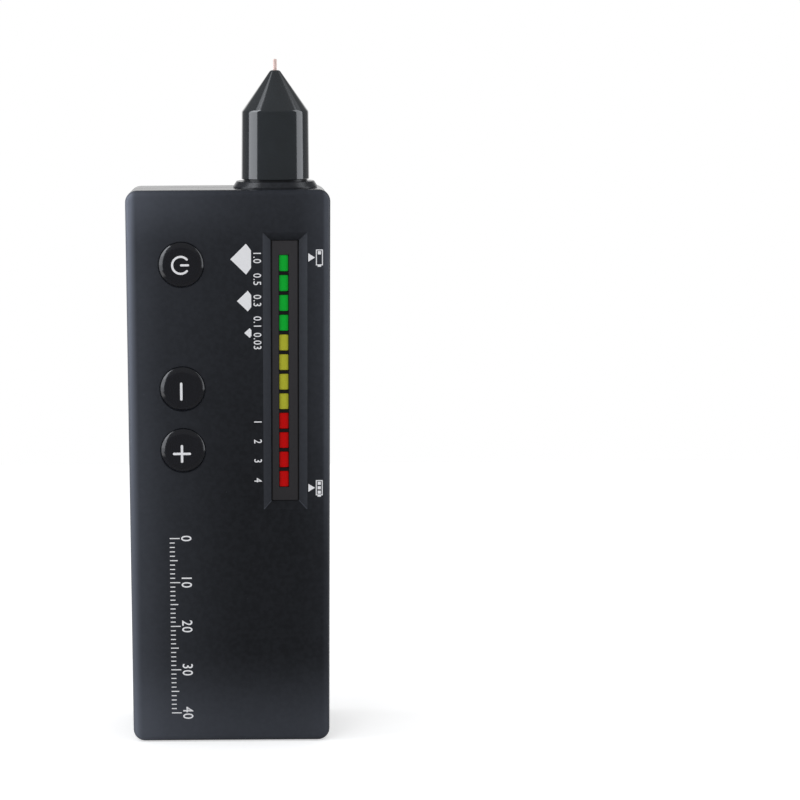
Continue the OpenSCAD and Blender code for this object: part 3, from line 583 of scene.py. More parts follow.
def grid_faces(rows, columns, wrap_rows=False):
    """Quads of a grid of points, row by row; the columns always close on themselves."""
    row = np.arange(rows if wrap_rows else rows - 1)[:, None]
    column = np.arange(columns)[None, :]
    below = row * columns
    above = (row + 1) % rows * columns
    after = (column + 1) % columns
    quads = np.stack([below + column, below + after, above + after, above + column], axis=-1)
    return quads.reshape(-1, 4).tolist()


def supported(profile):
    """The profile with extra points near both ends of its long straight sides, so that the shading of a
    rounded corner stays at that corner."""
    profile = np.asarray(profile, float)
    points = [profile[:1]]
    for start, end in zip(profile[:-1], profile[1:]):
        side = np.linalg.norm(end - start)
        if side > 8 * SUPPORT:
            points.append(start + (end - start) * np.array([[SUPPORT], [side - SUPPORT]]) / side)
        points.append(end[None])
    return np.concatenate(points)


def turned(profile, origin, axis, around, closed=False):
    """Turned surface: (r, h) of the profile at angle t lies at origin + h * axis + r * (cos t * u +
    sin t * v), where u and v are square to the axis. A closed profile makes a ring."""
    profile = supported(profile)
    axis = np.asarray(axis, float)
    u = np.array([1.0, 0.0, 0.0])
    v = np.cross(axis, u)
    t = np.linspace(0, 2 * np.pi, around, endpoint=False)
    circle = np.cos(t)[:, None] * u + np.sin(t)[:, None] * v
    r, h = profile.T
    points = np.asarray(origin, float) + h[:, None, None] * axis + r[:, None, None] * circle
    return points.reshape(-1, 3), grid_faces(len(r), around, closed)


def arc(centre, radius, start, end, steps=8):
    """Points of a circular arc from one angle to the other, in degrees."""
    angle = np.radians(np.linspace(start, end, steps + 1))
    return np.asarray(centre, float) + radius * np.column_stack([np.cos(angle), np.sin(angle)])


def edge_round(radius, steps):
    """How far short of its side and how far below its top each point of a quarter round lies, after the
    first: r * (1 - sin t) and r * (1 - cos t)."""
    t = np.radians(np.linspace(0, 90, steps + 1))[1:]
    return radius * (1 - np.sin(t)), radius * (1 - np.cos(t))


def rounded(corners, radii, steps=6, closed=True):
    """Outline through corners, each rounded by its own radius with an arc tangent to both of its sides.
    The arc's centre lies on the corner's bisector at r / sin(half the corner's angle)."""
    corners = np.asarray(corners, float)
    parts = []
    for i, (corner, radius) in enumerate(zip(corners, radii)):
        at_end = not closed and i in (0, len(corners) - 1)
        if radius == 0 or at_end:
            parts.append(corner[None])
            continue
        back = corners[i - 1] - corner
        on = corners[(i + 1) % len(corners)] - corner
        back /= np.linalg.norm(back)
        on /= np.linalg.norm(on)
        half = np.arccos(np.clip(back @ on, -1, 1)) / 2
        bisector = (back + on) / np.linalg.norm(back + on)
        centre = corner + bisector * radius / np.sin(half)
        first = corner + back * radius / np.tan(half) - centre
        last = corner + on * radius / np.tan(half) - centre
        start = np.arctan2(first[1], first[0])
        sweep = (np.arctan2(last[1], last[0]) - start + np.pi) % (2 * np.pi) - np.pi
        angle = start + sweep * np.linspace(0, 1, steps + 1)
        parts.append(centre + radius * np.column_stack([np.cos(angle), np.sin(angle)]))
    return np.concatenate(parts)


def tube(path, radius, square_to, sides):
    """Round tube along a path, with flat ends: each ring is centre + r * (cos t * u + sin t * v), where u
    is square to the path and to a given axis, and r is 0 on the doubled end points."""
    path = np.asarray(path, float)
    tangent = np.gradient(path, axis=0)
    tangent /= np.linalg.norm(tangent, axis=1)[:, None]
    side = np.cross(tangent, np.asarray(square_to, float))
    side /= np.linalg.norm(side, axis=1)[:, None]
    other = np.cross(tangent, side)
    centre = np.concatenate([path[:1], path, path[-1:]])
    side = np.concatenate([side[:1], side, side[-1:]])
    other = np.concatenate([other[:1], other, other[-1:]])
    r = np.full(len(centre), radius)
    r[[0, -1]] = 0
    t = np.linspace(0, 2 * np.pi, sides, endpoint=False)
    ring = np.cos(t)[None, :, None] * side[:, None] + np.sin(t)[None, :, None] * other[:, None]
    points = centre[:, None] + r[:, None, None] * ring
    return points.reshape(-1, 3), grid_faces(len(centre), sides)


def joined(solids):
    """One solid from several."""
    points = np.concatenate([solid[0] for solid in solids])
    faces = []
    base = 0
    for part_points, part_faces in solids:
        faces += [[base + corner for corner in face] for face in part_faces]
        base += len(part_points)
    return points, faces


# Printed marks: flat outlines (u, v) on a face, given a thickness outwards as a third number w


# Figures against the font's own: how far they are thickened, how wide they are and how far apart
FIGURE_BOLD = 0.006
FIGURE_NARROW = 0.84
FIGURE_SPACING = 1.12

# Radii at the ends of strokes and in the corners between them, as shares of the line
STROKE_ROUND = 0.45
CORNER_ROUND = 0.05


def slab(outline, thickness):
    """Prism over an outline: its floor at w = 0, its top at w = thickness and one wall for each side."""
    count = len(outline)
    floor = np.column_stack([outline, np.zeros(count)])
    top = np.column_stack([outline, np.full(count, thickness)])
    ring = np.arange(count)
    after = (ring + 1) % count
    walls = np.column_stack([ring, after, after + count, ring + count]).tolist()
    return np.concatenate([floor, top]), [ring[::-1].tolist(), (ring + count).tolist(), *walls]


def number(text, height, thickness):
    """Narrow figures of that height as a closed solid, centred on their own middle, lying on w = 0."""
    curve = bpy.data.curves.new("figures", "FONT")
    curve.body = text
    curve.extrude = thickness / 2
    curve.offset = FIGURE_BOLD
    curve.space_character = FIGURE_SPACING
    curve.resolution_u = 6
    holder = bpy.data.objects.new("figures", curve)
    bpy.context.scene.collection.objects.link(holder)
    solid = holder.evaluated_get(bpy.context.evaluated_depsgraph_get()).to_mesh()
    points = np.zeros(len(solid.vertices) * 3)
    solid.vertices.foreach_get("co", points)
    points = points.reshape(-1, 3)
    faces = [list(face.vertices) for face in solid.polygons]
    bpy.data.objects.remove(holder)
    bpy.data.curves.remove(curve)
    low, high = points.min(axis=0), points.max(axis=0)
    flat = (points[:, :2] - (low[:2] + high[:2]) / 2) * (FIGURE_NARROW, 1) * height / (high[1] - low[1])
    return np.column_stack([flat, points[:, 2] - low[2]]), faces


def moved(solid, u, v, quarter_turns=0):
    """The solid turned clockwise by quarter turns and moved on its face."""
    points, faces = solid
    angle = -quarter_turns * np.pi / 2
    turn = np.array([[np.cos(angle), np.sin(angle)], [-np.sin(angle), np.cos(angle)]])
    flat = points[:, :2] @ turn + (u, v)
    return np.column_stack([flat, points[:, 2]]), faces


def edge_drop(u):
    """How far the rounded edge has fallen away at u: r - sqrt(r^2 - d^2), d being the way past the flat."""
    radius = sizes().edge_radius
    past = np.clip(np.abs(u) - (HALF_W - radius), 0, radius)
    return radius - np.sqrt(radius**2 - past**2)


def on_front(points):
    """Face coordinates to the case's front: u is X, v is Z, and w goes out along -Y."""
    u, v, w = points.T
    return np.column_stack([u, FRONT_Y + edge_drop(u) - w, v])


def on_back(points):
    """Face coordinates to the case's back: u is -X, v is Z, and w goes out along +Y."""
    u, v, w = points.T
    return np.column_stack([-u, BACK_Y - edge_drop(u) + w, v])


def add_print(name, solids, to_space, body=CASE):
    """One printed piece from several flat solids."""
    points, faces = joined(solids)
    add_piece(name, (to_space(points), faces), body, PALETTE["white_ink"])


def bar(width, height):
    """Rectangle about the origin."""
    return np.array([[-1, -1], [1, -1], [1, 1], [-1, 1]]) * (width / 2, height / 2)


def stroke(width, height):
    """Rectangle about the origin with nearly round ends."""
    return rounded(bar(width, height), [STROKE_ROUND * min(width, height)] * 4, 4)


def hollow(width, height, line, thickness):
    """Band of that thickness round a rectangle: its section's four corners, carried round the sides."""
    outer = bar(width, height)
    inner = bar(width - 2 * line, height - 2 * line)
    section = [(inner, 0), (outer, 0), (outer, thickness), (inner, thickness)]
    points = np.concatenate([np.column_stack([loop, np.full(4, level)]) for loop, level in section])
    return points, grid_faces(4, 4, True)


def ring_sector(inner, outer, start, end, steps=40):
    """Band between two radii from one angle to the other, with round ends."""
    half = (outer - inner) / 2
    last, first = (arc((0, 0), inner + half, angle, angle, 0)[0] for angle in (end, start))
    return np.concatenate([
        arc((0, 0), outer, start, end, steps), arc(last, half, end, end + 180)[1:-1],
        arc((0, 0), inner, end, start, steps), arc(first, half, start + 180, start + 360)[1:-1]])


def plus_outline(length_across, line):
    """Cross of two equal bars with round ends: one arm's corners, turned four times."""
    reach, half = length_across / 2, line / 2
    arm = np.array([(half, half), (reach, half), (reach, -half)])
    quarter = np.array([[0, -1], [1, 0]])
    corners = np.concatenate([arm @ np.linalg.matrix_power(quarter, i) for i in range(4)])
    return rounded(corners, [CORNER_ROUND * line, STROKE_ROUND * line, STROKE_ROUND * line] * 4, 5)


# Finishes by name, filled by the first operator
PALETTE = {}


class TESTER_OT_finishes(bpy.types.Operator):
    """Makes the finishes that several pieces share"""

    bl_idname = "tester.finishes"
    bl_label = "Finishes"

    def execute(self, context):
        c = colours()
        satin = {"Specular IOR Level": 0.2}
        lacquer = {"Coat Weight": 1.0, "Coat Roughness": 0.07, "Coat IOR": 1.6,
                   "Specular IOR Level": 0.62}
        gloss = {"Coat Weight": 0.7, "Coat Roughness": 0.1}
        finishes = (
            moulded("case_plastic", c.case, c.case_roughness, constants=satin, light_and_polish=True),
            moulded("collar_plastic", lighter(c.case, 1.35), 0.26, grain=0.15 * MM, depth=0.002 * MM),
            glossy("nozzle_plastic", c.nozzle, c.nozzle_roughness, lacquer),
            moulded("button_plastic", c.button, 0.16, grain=0.12 * MM, depth=0.0004 * MM, spread=0.05,
                    constants=gloss),
            printed("white_ink", c.ink),
            metal("copper", c.copper, 0.36, {"Metallic": 0.25}),
            brushed("brushed_plate", c.plate, 0.36, (1, 1, 60), {"Anisotropic": 0.5}),
            metal("screw_steel", c.steel, 0.2),
            metal("spring_steel", c.steel, 0.28),
            metal("spring_bronze", (0.55, 0.4, 0.16), 0.3),
            moulded("white_plastic", (0.62, 0.6, 0.55), 0.45),
            moulded("inner_plastic", (0.02, 0.02, 0.022), 0.5),
            moulded("chip_plastic", (0.012, 0.012, 0.014), 0.55),
            moulded("foam", (0.03, 0.03, 0.03), 0.85, grain=0.3 * MM, depth=0.03 * MM),
            glossy("lead_sleeve", (0.35, 0.02, 0.02), 0.4),
            foil_finish("cell_foil"),
            board_finish("board_laminate"),
        )
        PALETTE.update((finish.name, finish) for finish in finishes)
        return {"FINISHED"}


class TESTER_OT_case(bpy.types.Operator):
    """Finishes both covers, the plate and the pieces inside that keep their CAD shape"""

    bl_idname = "tester.case"
    bl_label = "Case and inner pieces"

    DRESSED = {
        "case_plastic": ("front_cover", "rear_cover"),
        "white_plastic": ("probe_guide", "probe_heater", *[f"{name}_plunger" for name in BUTTONS]),
        "inner_plastic": ("probe_plug", "led_holder", "usb_tongue",
                          *[f"{name}_switch" for name in BUTTONS]),
        "chip_plastic": ("controller_chip", "charge_chip", "board_passives", "buzzer"),
        "foam": ("battery_tape", "buzzer_seal"),
        "lead_sleeve": ("battery_leads",),
        "cell_foil": ("battery_cell",),
        "board_laminate": ("main_board",),
        "spring_steel": ("usb_shell",),
        "spring_bronze": ("plate_spring",),
        "screw_steel": ("board_screws",),
        "brushed_plate": ("contact_plate",),
    }

    def execute(self, context):
        for finish_name, nodes in self.DRESSED.items():
            dress(nodes, PALETTE[finish_name])
        return {"FINISHED"}


class TESTER_OT_nozzle(bpy.types.Operator):
    """Turns the nozzle, with its rounded shoulder and hollow inside, and the collar under it"""

    bl_idname = "tester.nozzle"
    bl_label = "Nozzle and collar"

    BARREL_WALL = 3.2 * MM
    FOOT_SOFT = 0.15 * MM
    MOUTH_RADIUS = 0.48 * MM
    END_RADIUS = 1.0 * MM
    NECK_RADIUS = 5.3 * MM
    CONE_HEIGHT = 8.8 * MM
    DRAFT = 0.16 * MM
    COLLAR_EDGE = 0.3 * MM
    COLLAR_BEVEL = 0.7 * MM
    COLLAR_SOFT = 0.15 * MM
    LAND_HEIGHT = 0.45 * MM
    LAND_INSET = 0.3 * MM
    NECK_GAP = 0.1 * MM

    def execute(self, context):
        size = sizes()
        low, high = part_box("probe_nozzle")
        collar_low, collar_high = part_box("nozzle_collar")
        centre = middle("probe_nozzle")
        radius = (high.x - low.x) / 2
        foot = collar_high.z
        shoulder = high.z - self.CONE_HEIGHT
        bore = radius - self.BARREL_WALL
        shell = rounded(
            [(self.MOUTH_RADIUS, high.z), (self.END_RADIUS, high.z), (radius, shoulder),
             (radius + self.DRAFT, foot), (self.NECK_RADIUS, foot), (self.NECK_RADIUS, low.z),
             (bore, low.z), (bore, shoulder), (self.MOUTH_RADIUS, shoulder + self.CONE_HEIGHT / 2)],
            [0, size.tip_radius, size.shoulder_radius, self.FOOT_SOFT, 0, 0, 0, 0, 0])
        outer = (collar_high.x - collar_low.x) / 2
        top = collar_high.z - self.LAND_HEIGHT
        inner = self.NECK_RADIUS + self.NECK_GAP
        land = radius - self.LAND_INSET
        ring = rounded(
            [(inner, collar_low.z), (outer, collar_low.z), (outer, collar_low.z + self.COLLAR_EDGE),
             (outer - self.COLLAR_BEVEL, top), (land, top), (land, collar_high.z), (inner, collar_high.z)],
            [0, 0, self.COLLAR_SOFT, self.COLLAR_SOFT, 0, 0, 0])
        for name, profile, slot, finish_name, node in (
                ("nozzle_shell", shell, "nozzle_plastic", "nozzle_plastic", "probe_nozzle"),
                ("collar_ring", ring, "case_plastic", "collar_plastic", "nozzle_collar")):
            solid = turned(profile, (centre.x, centre.y, 0), (0, 0, 1), size.around, closed=True)
            add_piece(name, solid, CASE, PALETTE[finish_name], [node])
        return {"FINISHED"}


class TESTER_OT_probe(bpy.types.Operator):
    """Makes the copper pin and, inside, the spring and the leads"""

    bl_idname = "tester.probe"
    bl_label = "Probe"

    PIN_RADIUS = 0.4 * MM
    PIN_END = 0.3 * MM
    FOOT_THICK = 0.8 * MM
    FOOT_SOFT = 0.1 * MM
    TURNS = 7
    RINGS_IN_A_TURN = 24
    WIRE_SIDES = 8
    LEAD_STEPS = 24
    LEAD_SIDES = 10

    def execute(self, context):
        size = sizes()
        low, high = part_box("probe_tip")
        centre = middle("probe_tip")
        foot = (high.x - low.x) / 2
        profile = rounded(
            [(0, low.z), (foot, low.z), (foot, low.z + self.FOOT_THICK),
             (self.PIN_RADIUS, low.z + self.FOOT_THICK), (self.PIN_RADIUS, high.z), (0, high.z)],
            [0, self.FOOT_SOFT, self.FOOT_SOFT, self.FOOT_SOFT, self.PIN_END, 0], closed=False)
        pin = turned(profile, (centre.x, centre.y, 0), (0, 0, 1), size.around)
        add_piece("probe_pin", pin, PROBE, PALETTE["copper"], ["probe_tip"])
        self.add_spring(size)
        self.add_leads(size)
        return {"FINISHED"}

    def add_spring(self, size):
        """Helix: x = r cos t, y = r sin t, z rising evenly with t."""
        low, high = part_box("probe_spring")
        centre = middle("probe_spring")
        radius = (high.y - low.y) / 2 - size.wire / 2
        t = np.linspace(0, 2 * np.pi * self.TURNS, self.TURNS * self.RINGS_IN_A_TURN + 1)
        z = np.linspace(low.z + size.wire / 2, high.z - size.wire / 2, len(t))
        path = np.column_stack([centre.x + radius * np.cos(t), centre.y + radius * np.sin(t), z])
        coil = tube(path, size.wire / 2, (0, 0, 1), self.WIRE_SIDES)
        spring = add_piece("probe_coil", coil, CASE, PALETTE["spring_steel"], ["probe_spring"])
        self.give(spring, low.z, high.z)

    def add_leads(self, size):
        """Two leads that run down, cross over to the board in a cosine bend and lie on it."""
        low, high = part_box("probe_leads")
        plug_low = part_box("probe_plug")[0].z
        board_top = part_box("main_board")[1].z
        radius = size.lead / 2
        start_y = middle("probe_tip").y
        end_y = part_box("main_board")[1].y + radius
        s = np.linspace(0, 1, self.LEAD_STEPS)
        bend = np.column_stack([start_y + (end_y - start_y) * (1 - np.cos(np.pi * s)) / 2,
                                plug_low + (board_top - plug_low) * s])
        route = np.concatenate([[(start_y, high.z)], bend, [(end_y, low.z)]])
        routes = [np.column_stack([np.full(len(route), x), route])
                  for x in (low.x + radius, high.x - radius)]
        leads = joined([tube(path, radius, (1, 0, 0), self.LEAD_SIDES) for path in routes])
        wires = add_piece("probe_wires", leads, CASE, PALETTE["lead_sleeve"],
                          ["probe_leads"])
        self.give(wires, low.z, high.z)

    def give(self, piece, fixed_z, moving_z):
        """Works out the share of a piece that would stay as the probe moves in, and gives the piece its own
        mesh; the piece is not shortened.
        """
        joint = next(joint for joint in frame["joints"] if joint["child"] == PROBE)
        keep = 1 - joint["range_m"][1] / (moving_z - fixed_z)
        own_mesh(piece)


class TESTER_OT_buttons(bpy.types.Operator):
    """Turns the three push buttons, with a rolled rim and a shallow dish, and prints their signs"""

    bl_idname = "tester.buttons"
    bl_label = "Buttons"

    TOP_RADIUS = 4.86 * MM
    DISH_RINGS = 10
    ROLL_SLOPES = (0, 0.62, 0.95)
    ROLL_STOPS = (0, 0.4, 1)
    ROLL_STEPS = 20
    FLANGE_THICK = 0.9 * MM
    FLANGE_SOFT = 0.1 * MM
    STEM_RADIUS = 2 * MM
    STEM_LENGTH = 0.8 * MM
    SIGN_LINE = 0.52 * MM
    SIGN_LENGTH = 3.94 * MM
    POWER_LINE = 0.46 * MM
    POWER_RADIUS = 2.05 * MM
    POWER_BAR = 1.95 * MM
    POWER_BAR_START = -0.12 * MM
    POWER_GAP = 43
    SIGN_SHIFTS = {"power": (-0.08 * MM, -0.02 * MM), "minus": (-0.25 * MM, -0.42 * MM),
                   "plus": (-0.25 * MM, -0.58 * MM)}

    def signs(self, name, ink):
        """Flat solids of a button's sign about the button's centre, turned as the case's print is."""
        if name == "minus":
            return [slab(stroke(self.SIGN_LINE, self.SIGN_LENGTH), ink)]
        if name == "plus":
            return [slab(plus_outline(self.SIGN_LENGTH, self.SIGN_LINE), ink)]
        line = self.POWER_LINE
        outer = self.POWER_RADIUS
        ring = slab(ring_sector(outer - line, outer, self.POWER_GAP, 360 - self.POWER_GAP), ink)
        upright = slab(stroke(self.POWER_BAR, line), ink)
        return [ring, moved(upright, self.POWER_BAR_START + self.POWER_BAR / 2, 0)]

    def dish_radius(self):
        """Radius at which the dish ends and the roll starts."""
        return self.TOP_RADIUS - sizes().button_roll

    def dish_depth(self, out):
        """How deep the dish is at a share of its radius: dish * (1 + cos(pi * share)) / 2."""
        return sizes().button_dish * (1 + np.cos(np.pi * out)) / 2

    def top_profile(self, size, face):
        """A dish whose depth falls as a cosine, a roll whose slope grows between the stops and whose drop
        is the running sum of that slope, and a small round that turns it upright at the rim."""
        dish_radius = self.dish_radius()
        out = np.linspace(0, 1, self.DISH_RINGS)
        dish = np.column_stack([dish_radius * out, face - self.dish_depth(out)])
        width = size.button_roll - size.button_edge
        along = np.linspace(0, 1, self.ROLL_STEPS + 1)
        slope = np.interp(along, self.ROLL_STOPS, self.ROLL_SLOPES)
        drop = np.cumsum((slope[1:] + slope[:-1]) / 2) * width / self.ROLL_STEPS
        roll = np.column_stack([dish_radius + width * along[1:], face - drop])
        tilt = math.atan(self.ROLL_SLOPES[-1])
        radius = size.button_edge / (1 - math.sin(tilt))
        centre = (self.TOP_RADIUS - radius, roll[-1, 1] - radius * math.cos(tilt))
        return np.concatenate([dish, roll, arc(centre, radius, 90 - math.degrees(tilt), 0)[1:]])

    def execute(self, context):
        size = sizes()
        soft = self.FLANGE_SOFT
        for name in BUTTONS:
            node = f"{name}_button"
            low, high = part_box(node)
            centre = middle(node)
            flange = (high.x - low.x) / 2
            face = -low.y
            flange_foot = -high.y + self.STEM_LENGTH
            flange_top = flange_foot + self.FLANGE_THICK
            top = self.top_profile(size, face)
            below = rounded(
                [top[-1], (self.TOP_RADIUS, flange_top), (flange, flange_top), (flange, flange_foot),
                 (self.STEM_RADIUS, flange_foot), (self.STEM_RADIUS, -high.y), (0, -high.y)],
                [0, 0, soft, soft, 0, soft, 0], closed=False)
            profile = np.concatenate([top, below[1:]])
            cap = turned(profile, (centre.x, 0, centre.z), (0, -1, 0), size.around)
            add_piece(f"{name}_cap", cap, node, PALETTE["button_plastic"], [node])
            u, v = self.SIGN_SHIFTS[name]
            solids = [moved(solid, centre.x + u, centre.z + v) for solid in self.signs(name, size.ink)]
            add_print(f"{name}_sign", solids, lambda points: self.on_cap(points, centre, face), node)
        return {"FINISHED"}

    def on_cap(self, points, centre, face):
        """Lays a sign in the dish: u is X, v is Z, and w goes out along -Y from the dish's floor."""
        u, v, w = points.T
        out = np.clip(np.hypot(u - centre.x, v - centre.z) / self.dish_radius(), 0, 1)
        return np.column_stack([u, self.dish_depth(out) - face - w, v])


class TESTER_OT_lamps(bpy.types.Operator):
    """Makes the twelve lamps as crowned lenses with rounded corners, and finishes the strip round them"""

    bl_idname = "tester.lamps"
    bl_label = "Light bar"

    SQUARENESS = 14
    AROUND = 48
    FACE_RINGS = 9
    EDGE = 0.06 * MM
    EDGE_STEPS = 4
    DARK_MARGIN = 0.1 * MM

    def lens(self, low, high, crown):
        """Superellipse block: at angle t the outline is |cos t|^(2/n) and |sin t|^(2/n) of the half sides,
        drawn in by s, and the face stands crown * (1 - s^2) above the edge."""
        half = np.array([high.x - low.x, high.z - low.z]) / 2
        t = np.linspace(0, 2 * np.pi, self.AROUND, endpoint=False)
        power = 2 / self.SQUARENESS
        outline = np.column_stack([np.sign(np.cos(t)) * np.abs(np.cos(t)) ** power,
                                   np.sign(np.sin(t)) * np.abs(np.sin(t)) ** power])
        s = np.linspace(0, 1, self.FACE_RINGS)
        edge_level = low.y + crown
        short, below = edge_round(self.EDGE, self.EDGE_STEPS)
        inset = np.concatenate([np.full(len(s), self.EDGE), short, [0, 0]])
        reach = np.concatenate([s, np.ones(len(short)), [1, 0]])
        level = np.concatenate([edge_level - crown * (1 - s**2), edge_level + below, [high.y, high.y]])
        sides = (half[None] - inset[:, None]) * reach[:, None]
        flat = sides[:, None, :] * outline[None]
        centre = (low + high) / 2
        points = np.stack([centre.x + flat[..., 0], np.broadcast_to(level[:, None], flat.shape[:2]),
                           centre.z + flat[..., 1]], axis=-1)
        return points.reshape(-1, 3), grid_faces(len(level), self.AROUND)

    def execute(self, context):
        c = colours()
        centre_x = middle("green_lamp_1").x
        for colour_name in LAMP_COLOURS:
            names = [f"{colour_name}_lamp_{i + 1}" for i in range(LAMPS_OF_A_COLOUR)]
            low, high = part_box(names[0])
            half_width = (high.x - low.x) / 2
            finish = lamp_finish(f"{colour_name}_lens", getattr(c, colour_name), centre_x, half_width)
            for name in names:
                lens = self.lens(*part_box(name), sizes().lamp_crown)
                add_piece(f"{name}_lens", lens, CASE, finish, [name])
        margin = Vector((self.DARK_MARGIN, 0, self.DARK_MARGIN))
        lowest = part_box(f"red_lamp_{LAMPS_OF_A_COLOUR}")[0] - margin
        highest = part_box("green_lamp_1")[1] + margin
        dress(["led_window"], window_finish("window_plastic", c.window, lowest, highest))
        return {"FINISHED"}


class TESTER_OT_screws(bpy.types.Operator):
    """Makes the two case screws with domed heads and tapered cross recesses"""

    bl_idname = "tester.screws"
    bl_label = "Case screws"

    HEAD_RADIUS = 2 * MM
    HEAD_HEIGHT = 1.4 * MM
    SHANK_RADIUS = 1 * MM
    DOME = 0.55 * MM
    EDGE = 0.25 * MM
    EDGE_STEPS = 5
    CROSS_DEPTH = 0.85 * MM
    CROSS_REACH = 1.35 * MM
    CROSS_HALF = 0.26 * MM
    TAPER = 0.16 * MM
    RINGS = 40
    AROUND = 144
    SHARP = 28

    def recess(self, x, y):
        """Depth of the cross: full where a point lies in either bar, easing out over the taper."""

        def bar_depth(along, side):
            wall = np.clip((self.CROSS_HALF + self.TAPER - np.abs(side)) / self.TAPER, 0, 1)
            end = np.clip((self.CROSS_REACH - np.abs(along)) / (self.CROSS_REACH - self.CROSS_HALF), 0, 1)
            return wall * end

        return self.CROSS_DEPTH * np.maximum(bar_depth(x, y), bar_depth(y, x))

    def screw(self, x, z, top, length_below):
        """Head that lies dome * (r / R)^2 below its top, less the cross, over a plain shank."""
        t = np.linspace(0, 2 * np.pi, self.AROUND, endpoint=False)
        r = np.linspace(0, self.HEAD_RADIUS - self.EDGE, self.RINGS)
        across = r[:, None] * np.cos(t)
        up = r[:, None] * np.sin(t)
        dome = -self.DOME * (r[:, None] / self.HEAD_RADIUS) ** 2
        face = dome - self.recess(across, up)
        short, below = edge_round(self.EDGE, self.EDGE_STEPS)
        under_head, end = -self.HEAD_HEIGHT, -self.HEAD_HEIGHT - length_below
        ring_r = np.concatenate([self.HEAD_RADIUS - short,
                                 [self.HEAD_RADIUS, self.SHANK_RADIUS, self.SHANK_RADIUS, 0]])
        ring_h = np.concatenate([dome[-1, 0] - below, [under_head, under_head, end, end]])
        across = np.concatenate([across, ring_r[:, None] * np.cos(t)])
        up = np.concatenate([up, ring_r[:, None] * np.sin(t)])
        level = np.concatenate([face, np.broadcast_to(ring_h[:, None], (len(ring_h), self.AROUND))])
        points = np.stack([x + across, top + level, z + up], axis=-1)
        return points.reshape(-1, 3), grid_faces(len(level), self.AROUND)

    def execute(self, context):
        low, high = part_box("case_screws")
        shank = high.y - low.y - self.HEAD_HEIGHT
        radius = self.HEAD_RADIUS
        screws = joined([self.screw(low.x + radius, high.z - radius, high.y, shank),
                         self.screw(high.x - radius, low.z + radius, high.y, shank)])
        add_piece("cross_screws", screws, CASE, PALETTE["screw_steel"], ["case_screws"],
                  self.SHARP)
        return {"FINISHED"}


